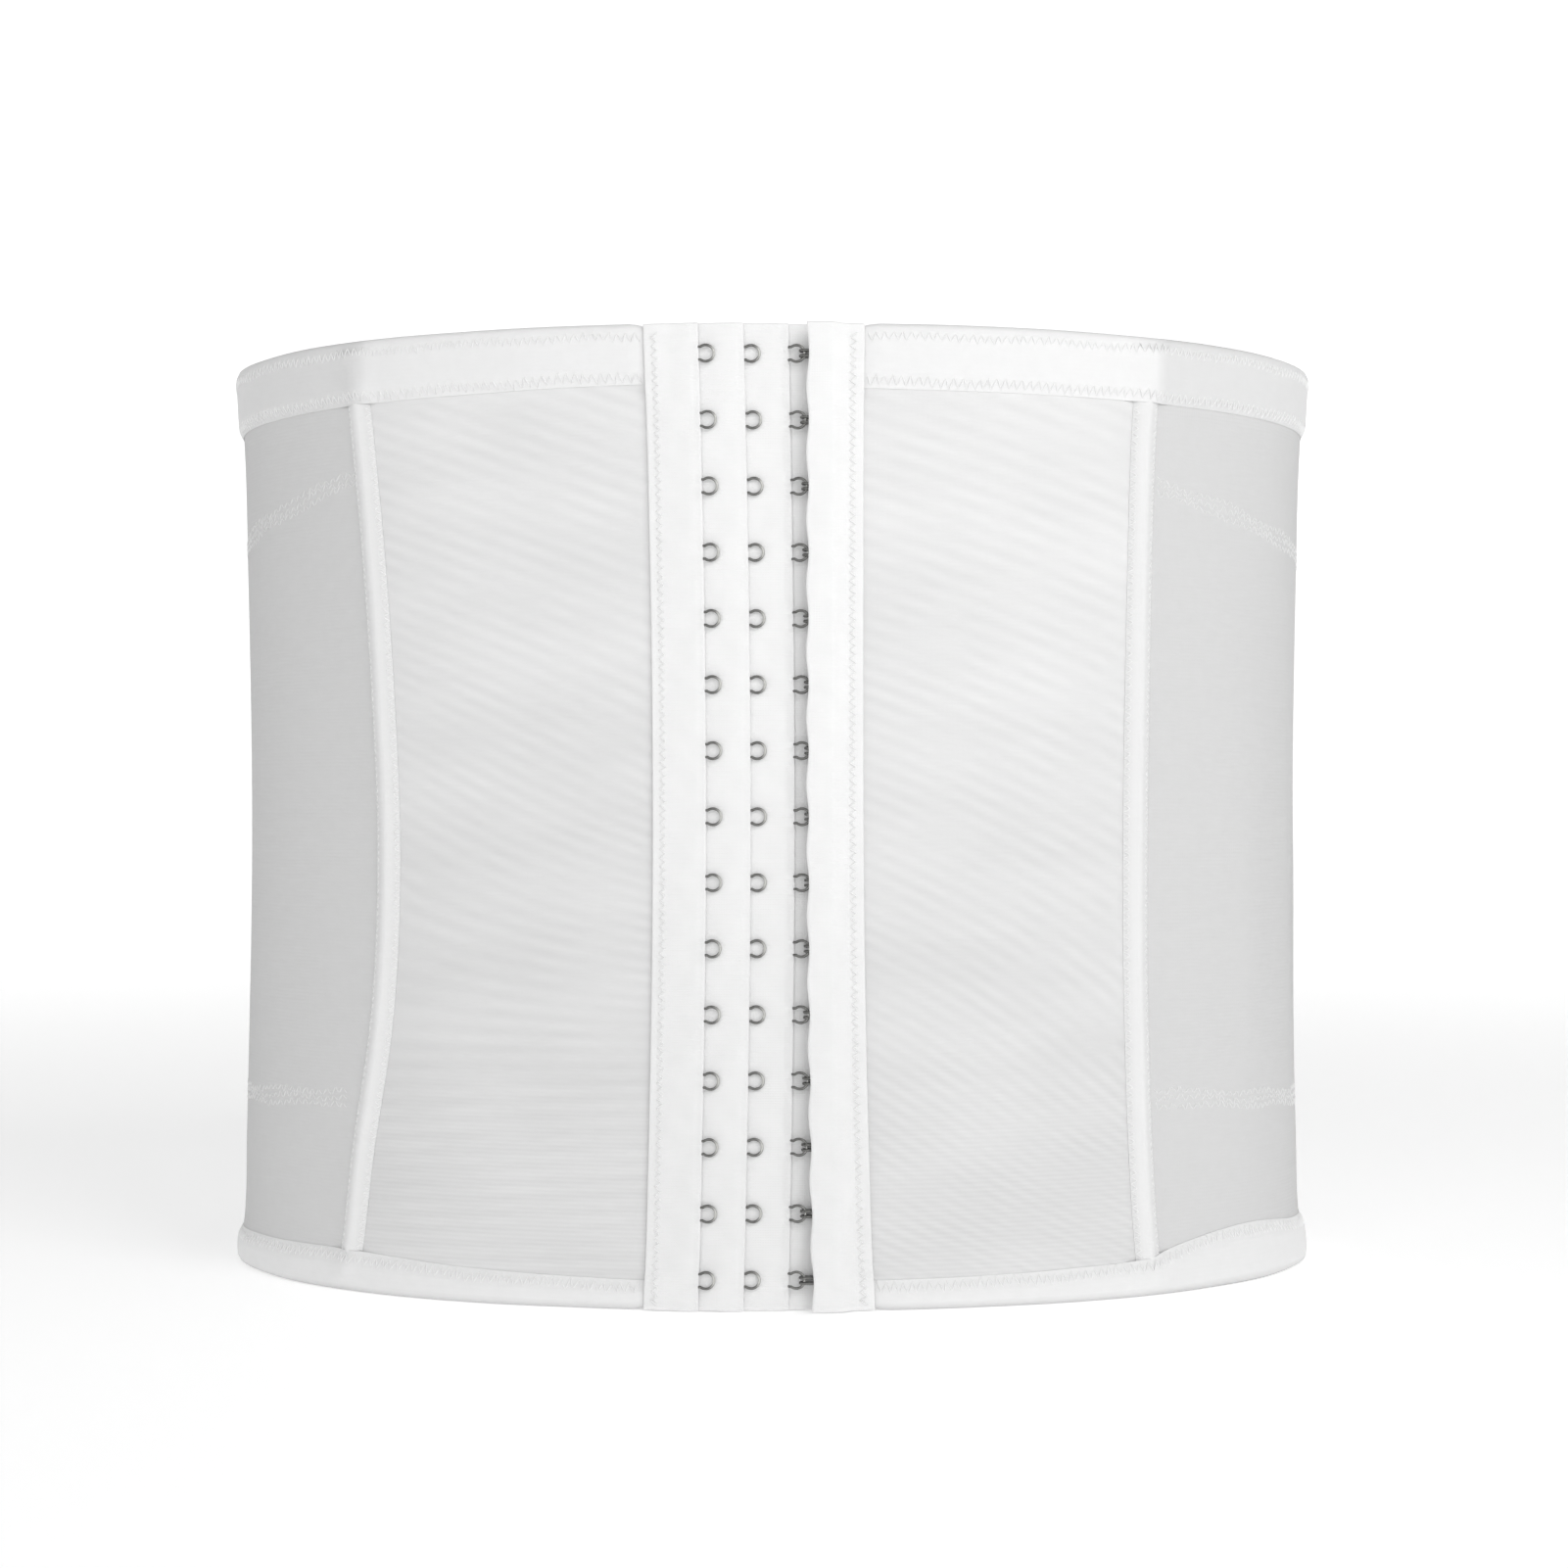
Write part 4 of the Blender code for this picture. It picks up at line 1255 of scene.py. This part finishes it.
# Hooks and eyes: bends, gaps and lengths of their wire, and the steps along it
HOOK_BEND = 1.3 * MM
HOOK_HALF_GAP = 0.75 * MM
HOOK_TIP = 3.0 * MM
HOOK_SHANK = 6.0 * MM
EYE_HALF_HEIGHT = 2.35 * MM
EYE_SWEEP = math.radians(128)
EYE_ROOT = 1.2 * MM
LAST_EYE_ROOT = 0.4 * MM
WIRE_SIDES = 10
EYE_STEPS = 22
HOOK_STEPS = 12
HOOK_LEG_STEPS = 4
# How much painted highlight the hooks' straight parts get
HOOK_PAINTED_HIGHLIGHT = 0.15


def eye_level(column):
    """Offset of the wire at an eye's round end: clear of the tape or the hook under it."""
    radius = sizes().wire / 2
    if column == EYE_COLUMNS - 1:
        return sizes().tape + FIT_GAP + radius + HOOK_BEND
    place = sizes().column_pitch - sizes().eye_reach - radius
    beneath = tape_level(column + 1, place) + sizes().tape
    in_tape = tape_level(column, 0.0) + sizes().tape / 2
    return max(float(in_tape), float(beneath + FIT_GAP + radius))


TAPE_STEP = 0.8 * MM

# The closure's border laps over the bindings' ends: how far it rises there, how wide that rise is
# and where it stops above or below a binding's free edge
BORDER_LAP = 1.2 * MM
BORDER_LIFT = 0.65 * MM
LIFT_WIDTH = (2 * MM, 7 * MM)
LIFT_STOP = (-MM, 2 * MM)

# Seams and puckers of the tapes: depth or height, place and width
TAPE_EDGE_GROOVE = 0.25 * MM
EDGE_SEAM = 1.3 * MM
EDGE_SEAM_WIDTH = 0.35 * MM
END_SEAM = 3.0 * MM
END_SEAM_WIDTH = 0.5 * MM
TAPE_PUCKER = 0.45 * MM
PUCKER_PLACE = 3 * MM
PUCKER_WIDTH = 3 * MM
LAST_EDGE_THINNING = 0.7 * MM
LAST_EDGE_SLOPE = 5.0 * MM

# The tape over the eyes' legs: how much cloth covers them, and how wide and long the rise is
LEG_COVER = 0.15 * MM
LEG_RISE_WIDTH = 0.8 * MM
LEG_RISE_LENGTH = 1.6 * MM
TAPE_STITCH_INSET = 1.8 * MM
TAPE_STITCH_WIDE = 1.8 * MM


def between_rows(height):
    """1 halfway between two rows of hooks and eyes, 0 at each row, as a raised cosine."""
    turn = 2 * math.pi * (height - row_heights()[0]) / sizes().row_pitch
    return (1 - np.cos(turn)) / 2


def groove(distance, width):
    """A narrow bell-shaped dent, 1 at its middle."""
    return np.exp(-(distance / width) ** 2)


def end_seams(height):
    """The two seams across the tapes, near their top and bottom ends."""
    high = groove(height - sizes().height + END_SEAM, END_SEAM_WIDTH)
    return high + groove(height - END_SEAM, END_SEAM_WIDTH)


def border_lift(from_border, height):
    """How far the closure's border is raised where it laps over a binding's end."""
    clear = np.minimum(sizes().height - sizes().top_band - height, height - sizes().bottom_hem)
    return BORDER_LIFT * (1 - ramp(from_border, *LIFT_WIDTH)) * (1 - ramp(clear, *LIFT_STOP))


class BELT_OT_eye_tapes(bpy.types.Operator):
    """Make the closure's backing, its three eye tapes and their steel eyes"""
    bl_idname = "belt.eye_tapes"
    bl_label = "Eye tapes"

    def execute(self, context):
        low = END_CLEARANCE
        high = sizes().height - END_CLEARANCE
        thick = sizes().tape
        clear = 2 * FIT_GAP
        grid = upright_grid(after(left_panel_edge, clear), before(right_panel_edge, clear), low,
                            high, PANEL_STEP, thick / 2)
        piece = wall("eye_backing_cloth", grid, 0.0, thick, tape_cloth(),
                     tape_painted_shade(*grid[:2]))
        settle(piece, "closure_tape", "eye_backing")
        for column in range(EYE_COLUMNS):
            self.tape(column, low, high, thick)
            self.eyes(column)
        self.stitches()
        return {"FINISHED"}

    def tape(self, column, low, high, thick):
        """One strip: grooved along its folded right edge, puckered between its eyes."""
        node = f"eye_tape_{column + 1}"

        def edge(height):
            return tape_edge(column, height)

        lap = BORDER_LAP if column == 0 else 0.0
        grid = upright_grid(before(edge, tape_width(column) + lap), edge, low, high, TAPE_STEP,
                            thick / 2)
        arcs, heights = grid[:2]
        place = edge(heights) - arcs
        inner = tape_level(column, place)
        if column == 0:
            inner = inner + border_lift(arcs - closure_left(heights), heights)
        dent = groove(place - EDGE_SEAM, EDGE_SEAM_WIDTH) + end_seams(heights)
        pucker = TAPE_PUCKER * between_rows(heights) * groove(place - PUCKER_PLACE, PUCKER_WIDTH)
        outer = (inner + thick - TAPE_EDGE_GROOVE * dent + pucker
                 + self.leg_cover(column, place, heights))
        if column == EYE_COLUMNS - 1:
            outer = outer - LAST_EDGE_THINNING * (1 - ramp(place, 0.0, LAST_EDGE_SLOPE))
        piece = wall(f"{node}_cloth", grid, inner, outer, tape_cloth(), tape_painted_shade(arcs, heights))
        settle(piece, "closure_tape", node)

    def leg_cover(self, column, place, heights):
        """How far the tape rises over the two legs of each eye, near its right edge."""
        top = float(tape_level(column, 0.0)) + sizes().tape
        needed = max(0.0, eye_level(column) + sizes().wire / 2 - top) + LEG_COVER
        leg = EYE_HALF_HEIGHT * math.sin(EYE_SWEEP)
        rise = np.zeros(np.broadcast(place, heights).shape)
        for row in row_heights():
            rise = rise + groove(heights - row + leg, LEG_RISE_WIDTH)
            rise = rise + groove(heights - row - leg, LEG_RISE_WIDTH)
        return needed * rise * groove(place, LEG_RISE_LENGTH)

    def eyes(self, column):
        """Fifteen eyes: two level legs out of the tape, and a round bow of seven tenths of a
        circle that joins them."""
        heights = row_heights()[:, None]
        edge = tape_edge(column, heights)
        level = eye_level(column)
        root = LAST_EYE_ROOT if column == EYE_COLUMNS - 1 else EYE_ROOT
        root_level = float(tape_level(column, root)) + sizes().tape / 2
        angles = np.linspace(EYE_SWEEP, -EYE_SWEEP, EYE_STEPS + 1)
        reach = sizes().eye_reach
        legs = np.array([-root, -root / 2, 0.0])
        pinch = np.full(legs.shape, math.sin(EYE_SWEEP))
        bows = np.array([root_level, (root_level + level) / 2, level])
        arcs = edge + np.concatenate([
            legs, reach - EYE_HALF_HEIGHT * (1 - np.cos(angles)), legs[::-1]])
        rises = EYE_HALF_HEIGHT * np.concatenate([pinch, np.sin(angles), -pinch])
        levels = np.concatenate([bows, np.full(angles.shape, level), bows[::-1]])
        tall = heights + rises
        paths = belt_point(arcs, tall, levels)
        points, quads, caps = tubes(paths, outward(arcs, tall), sizes().wire / 2, WIRE_SIDES)
        # Painted highlight on each eye's round end; the legs keep the painted shade
        dull = np.zeros(legs.shape)
        painted_glint = np.concatenate([dull, np.cos(angles).clip(0.0, 1.0) ** 3, dull])
        painted_glint = np.tile(np.repeat(painted_glint, WIRE_SIDES), len(heights))
        piece = piece_from(f"steel_eyes_{column + 1}", points, quads, wire_material(), caps=caps,
                           values={"painted_highlight": painted_glint})
        settle(piece, "hook_wire")

    def stitches(self):
        """A zigzag just inside the first tape's left border."""
        def level(arc, height):
            return (tape_level(0, tape_edge(0, height) - arc) + sizes().tape
                    + border_lift(arc - closure_left(height), height))

        closure_stitches("eye_tape_stitches", after(closure_left, TAPE_STITCH_INSET), level,
                         TAPE_STITCH_WIDE)


def closure_stitches(name, middle, level, wide):
    """A zigzag along one border of the closure, from its bottom to its top."""
    rows = [zigzag_up(STITCH_END, sizes().height - STITCH_END, middle, BAND_PITCH, wide)]
    settle(stitched_rows(name, rows, level, thread_material()), "closure_tape")


# Flap: how far its free edge draws in between the hooks, its stitches, and its puckers
FLAP_SCALLOP = 0.7 * MM
FLAP_STEP = 0.8 * MM
FLAP_STITCH_INSET = 2.0 * MM
FLAP_STITCH_WIDE = 2.0 * MM
FLAP_PUCKER = 0.25 * MM
FLAP_PUCKER_PLACE = 3 * MM
FLAP_PUCKER_WIDTH = 4 * MM


def flap_level(arc, height):
    """Inner and outer offsets of the flap: level over the hooked eyes, then down to the panel in a
    smooth step, raised over the bindings' ends and a little fuller between the hooks."""
    seat = sizes().fabric + FIT_GAP
    top = eye_level(EYE_COLUMNS - 1) + HOOK_BEND + sizes().wire / 2 + FIT_GAP
    free = flap_free(height)
    sewn = flap_sewn(height)
    lowered = ramp(arc, free + HOOK_SHANK + FIT_GAP, sewn - FLAP_LANDING)
    inner = top + (seat - top) * lowered + border_lift(sewn - arc, height)
    pucker = between_rows(height) * groove(arc - free - FLAP_PUCKER_PLACE, FLAP_PUCKER_WIDTH)
    return inner, inner + sizes().fabric + FLAP_PUCKER * pucker


class BELT_OT_hook_flap(bpy.types.Operator):
    """Make the flap that carries the hooks"""
    bl_idname = "belt.hook_flap"
    bl_label = "Hook flap"

    def execute(self, context):
        def free(height):
            return flap_free(height) - FLAP_SCALLOP * between_rows(height)

        grid = upright_grid(free, after(flap_sewn, BORDER_LAP), END_CLEARANCE,
                            sizes().height - END_CLEARANCE, FLAP_STEP, sizes().fabric / 2)
        arcs, heights = grid[:2]
        inner, outer = flap_level(arcs, heights)
        outer = outer - TAPE_EDGE_GROOVE * end_seams(heights)
        piece = wall("hook_flap_cloth", grid, inner, outer, tape_cloth(),
                     tape_painted_shade(arcs, heights))
        settle(piece, "closure_tape", "hook_panel")

        def level(arc, height):
            return flap_level(arc, height)[1]

        closure_stitches("hook_flap_stitches", before(flap_sewn, FLAP_STITCH_INSET), level,
                         FLAP_STITCH_WIDE)
        return {"FINISHED"}


class BELT_OT_hooks(bpy.types.Operator):
    """Make the fifteen steel hooks"""
    bl_idname = "belt.hooks"
    bl_label = "Hooks"

    def execute(self, context):
        """A hook is one wire, doubled: from under the flap over the eye's round end, back
        through the eye, and into a narrow loop beneath it."""
        level = eye_level(EYE_COLUMNS - 1)
        bend = np.linspace(math.pi / 2, math.pi * 3 / 2, HOOK_STEPS + 1)
        tip = np.linspace(math.pi / 2, -math.pi / 2, HOOK_STEPS + 1)
        straight = np.linspace(0.0, 1.0, HOOK_LEG_STEPS + 1)[1:-1]
        for number, height in enumerate(row_heights(), start=1):
            centre = tape_edge(EYE_COLUMNS - 1, height) + sizes().eye_reach
            base = flap_free(height) + HOOK_SHANK
            bend_arcs = centre + HOOK_BEND * np.cos(bend)
            bend_levels = level + HOOK_BEND * np.sin(bend)
            leg_arcs = centre + HOOK_TIP * straight
            leg_levels = np.full(straight.shape, level - HOOK_BEND)
            half = np.full(1 + len(bend) + len(straight), HOOK_HALF_GAP)
            arcs = np.concatenate([[base], bend_arcs, leg_arcs])
            levels = np.concatenate([[bend_levels[0]], bend_levels, leg_levels])
            tip_arcs = centre + HOOK_TIP + HOOK_HALF_GAP * np.cos(tip)
            tip_levels = np.full(tip.shape, level - HOOK_BEND)
            arcs = np.concatenate([arcs, tip_arcs, arcs[::-1]])
            levels = np.concatenate([levels, tip_levels, levels[::-1]])
            rises = np.concatenate([half, HOOK_HALF_GAP * np.sin(tip), -half])
            flat = np.concatenate([np.zeros(1 + len(bend)), straight, np.ones(len(tip)),
                                   straight[::-1], np.zeros(1 + len(bend))])
            paths = belt_point(arcs, height + rises, levels)
            upright = np.array([0.0, 0.0, 1.0])
            normals = (outward(arcs, height + rises) * flat[:, None]
                       + upright * (1 - flat)[:, None])
            points, quads, caps = tubes(paths[None], normals[None], sizes().wire / 2,
                                        WIRE_SIDES)
            # Painted highlight on the hook's straight parts
            painted_glint = np.repeat(HOOK_PAINTED_HIGHLIGHT * flat, WIRE_SIDES)
            piece = piece_from(f"steel_hook_{number:02d}", points, quads, wire_material(),
                               caps=caps, values={"painted_highlight": painted_glint})
            settle(piece, "hook_wire", f"hook_{number:02d}")
        return {"FINISHED"}


# The camera stands level with the middle of the belt, as in the photograph
CAMERA_DISTANCE = 0.926
CAMERA_HEIGHT = 0.144
CAMERA_LENS = 64.3
CAMERA_SHIFT = (0.0078, 0.0178)

FLOOR_RADIUS = 2.2
COVE_RADIUS = 0.7
COVE_TOP = 1.7
COVE_STEPS = 24
COVE_SIDES = 96

# Lights: place, what it points at, size in metres and power in watts
LAMPS = table(
    "Lamp", "name place target size power",
    ("key_light", (0.75, -1.1, 1.1), (0.0, -0.1, 0.14), 0.8, 6.0),
    ("fill_light", (-0.2, -1.3, 1.1), (0.0, -0.1, 0.14), 0.8, 2.0),
)
AMBIENT = 0.29

# The paper's own light: near the belt and far from it, with the distances in metres, and how much
# weaker it is on the left side, with the places that this fades between
NEAR_GLOW = 0.35
FAR_GLOW = 0.44
GLOW_REACH = (0.4, 1.6)
DIM_SIDE = 0.8
DIM_REACH = (-1.6, -0.4)
DIM_SLANT = 0.8


class BELT_OT_studio(bpy.types.Operator):
    """Make the pale floor and backdrop, the soft lights and the camera"""
    bl_idname = "belt.studio"
    bl_label = "Studio"

    def execute(self, context):
        scene = context.scene
        self.cove()
        for lamp in LAMPS:
            data = bpy.data.lights.new(lamp.name, "AREA")
            data.energy = lamp.power
            data.shape = "SQUARE"
            data.size = lamp.size
            light = bpy.data.objects.new(lamp.name, data)
            light.location = lamp.place
            aim = Vector(lamp.target) - Vector(lamp.place)
            light.rotation_euler = aim.to_track_quat("-Z", "Y").to_euler()
            light.visible_camera = False
            scene.collection.objects.link(light)
        world = bpy.data.worlds.new("soft white room")
        world.use_nodes = True
        background = world.node_tree.nodes["Background"]
        background.inputs["Color"].default_value = (1.0, 1.0, 1.0, 1.0)
        background.inputs["Strength"].default_value = AMBIENT
        scene.world = world
        data = bpy.data.cameras.new("photo_camera")
        data.lens = CAMERA_LENS
        data.shift_x, data.shift_y = CAMERA_SHIFT
        camera = bpy.data.objects.new("photo_camera", data)
        camera.location = (AXIS_X, AXIS_Y - CAMERA_DISTANCE, CAMERA_HEIGHT)
        camera.rotation_euler = (math.pi / 2, 0.0, 0.0)
        scene.collection.objects.link(camera)
        scene.camera = camera
        scene.view_settings.view_transform = "Standard"
        return {"FINISHED"}

    def cove(self):
        """Floor and backdrop as one bowl: a profile that is level, then a quarter circle, then
        upright, turned about the belt's axis."""
        turn = np.linspace(0.0, math.pi / 2, COVE_STEPS)
        reach = np.concatenate([[MM], FLOOR_RADIUS + COVE_RADIUS * np.sin(turn),
                                [FLOOR_RADIUS + COVE_RADIUS]])
        rise = np.concatenate([[0.0], COVE_RADIUS * (1 - np.cos(turn)), [COVE_TOP]])
        around = np.linspace(0.0, 2 * math.pi, COVE_SIDES + 1)[:-1]
        points = np.stack([np.outer(reach, np.cos(around)), np.outer(reach, np.sin(around)),
                           np.broadcast_to(rise[:, None], (len(rise), COVE_SIDES))], axis=-1)
        grid = np.arange(len(reach) * COVE_SIDES).reshape(-1, COVE_SIDES)
        grid = np.concatenate([grid, grid[:, :1]], axis=1)
        floor = piece_from("studio_floor", points.reshape(-1, 3), quads_of(grid)[:, ::-1],
                           paper(), caps=grid[:1, :-1])


def paper():
    """Seamless background paper: matt and nearly white, lit to a clear white. It glows less near
    the belt than far behind it, and less on its left side, which is turned from the key light."""
    material, shader = new_material("background paper", Roughness=0.95)
    if shader is None:
        return material
    shader.inputs["Base Color"].default_value = colours().floor
    shader.inputs["Emission Color"].default_value = (1.0, 1.0, 1.0, 1.0)
    place = add_node(material, "TexCoord").outputs["Object"]
    reach = add_node(material, "VectorMath", {"operation": "LENGTH"}, {0: place})
    glow = add_node(material, "MapRange", {"interpolation_type": "SMOOTHSTEP"},
                    {"Value": reach.outputs["Value"], "From Min": GLOW_REACH[0],
                     "From Max": GLOW_REACH[1], "To Min": NEAR_GLOW, "To Max": FAR_GLOW})
    split = add_node(material, "SeparateXYZ", inputs={"Vector": place})
    turned = add_node(material, "Math", {"operation": "MULTIPLY_ADD"},
                      {0: split.outputs["Y"], 1: DIM_SLANT, 2: split.outputs["X"]})
    side = add_node(material, "MapRange", {"interpolation_type": "SMOOTHSTEP"},
                    {"Value": turned, "From Min": DIM_REACH[0], "From Max": DIM_REACH[1],
                     "To Min": DIM_SIDE, "To Max": 1.0})
    both = add_node(material, "Math", {"operation": "MULTIPLY"}, {0: glow, 1: side})
    link(material, both, shader.inputs["Emission Strength"])
    return material


OPERATORS = (
    BELT_OT_studio,
    BELT_OT_panels,
    BELT_OT_channels,
    BELT_OT_bindings,
    BELT_OT_inner_band_stitches,
    BELT_OT_eye_tapes,
    BELT_OT_hook_flap,
    BELT_OT_hooks,
)


class BELT_PT_panel(bpy.types.Panel):
    """Sizes, colours and steps of the belt"""
    bl_idname = "BELT_PT_panel"
    bl_label = "Compression belt"
    bl_space_type = "VIEW_3D"
    bl_region_type = "UI"
    bl_category = "Belt"

    def draw(self, context):
        for group in (context.scene.belt_sizes, context.scene.belt_colours):
            box = self.layout.box()
            for label in group.bl_rna.properties.keys():
                if label not in ("rna_type", "name"):
                    box.prop(group, label)
        for operator in OPERATORS:
            self.layout.operator(operator.bl_idname)


CLASSES = (BeltSizes, BeltColours, *OPERATORS, BELT_PT_panel)


def register():
    for item in CLASSES:
        bpy.utils.register_class(item)
    bpy.types.Scene.belt_sizes = bpy.props.PointerProperty(type=BeltSizes)
    bpy.types.Scene.belt_colours = bpy.props.PointerProperty(type=BeltColours)


def unregister():
    del bpy.types.Scene.belt_colours
    del bpy.types.Scene.belt_sizes
    for item in reversed(CLASSES):
        bpy.utils.unregister_class(item)


def main():
    register()
    for operator in OPERATORS:
        group, name = operator.bl_idname.split(".")
        getattr(getattr(bpy.ops, group), name)()


if __name__ == "__main__":
    main()
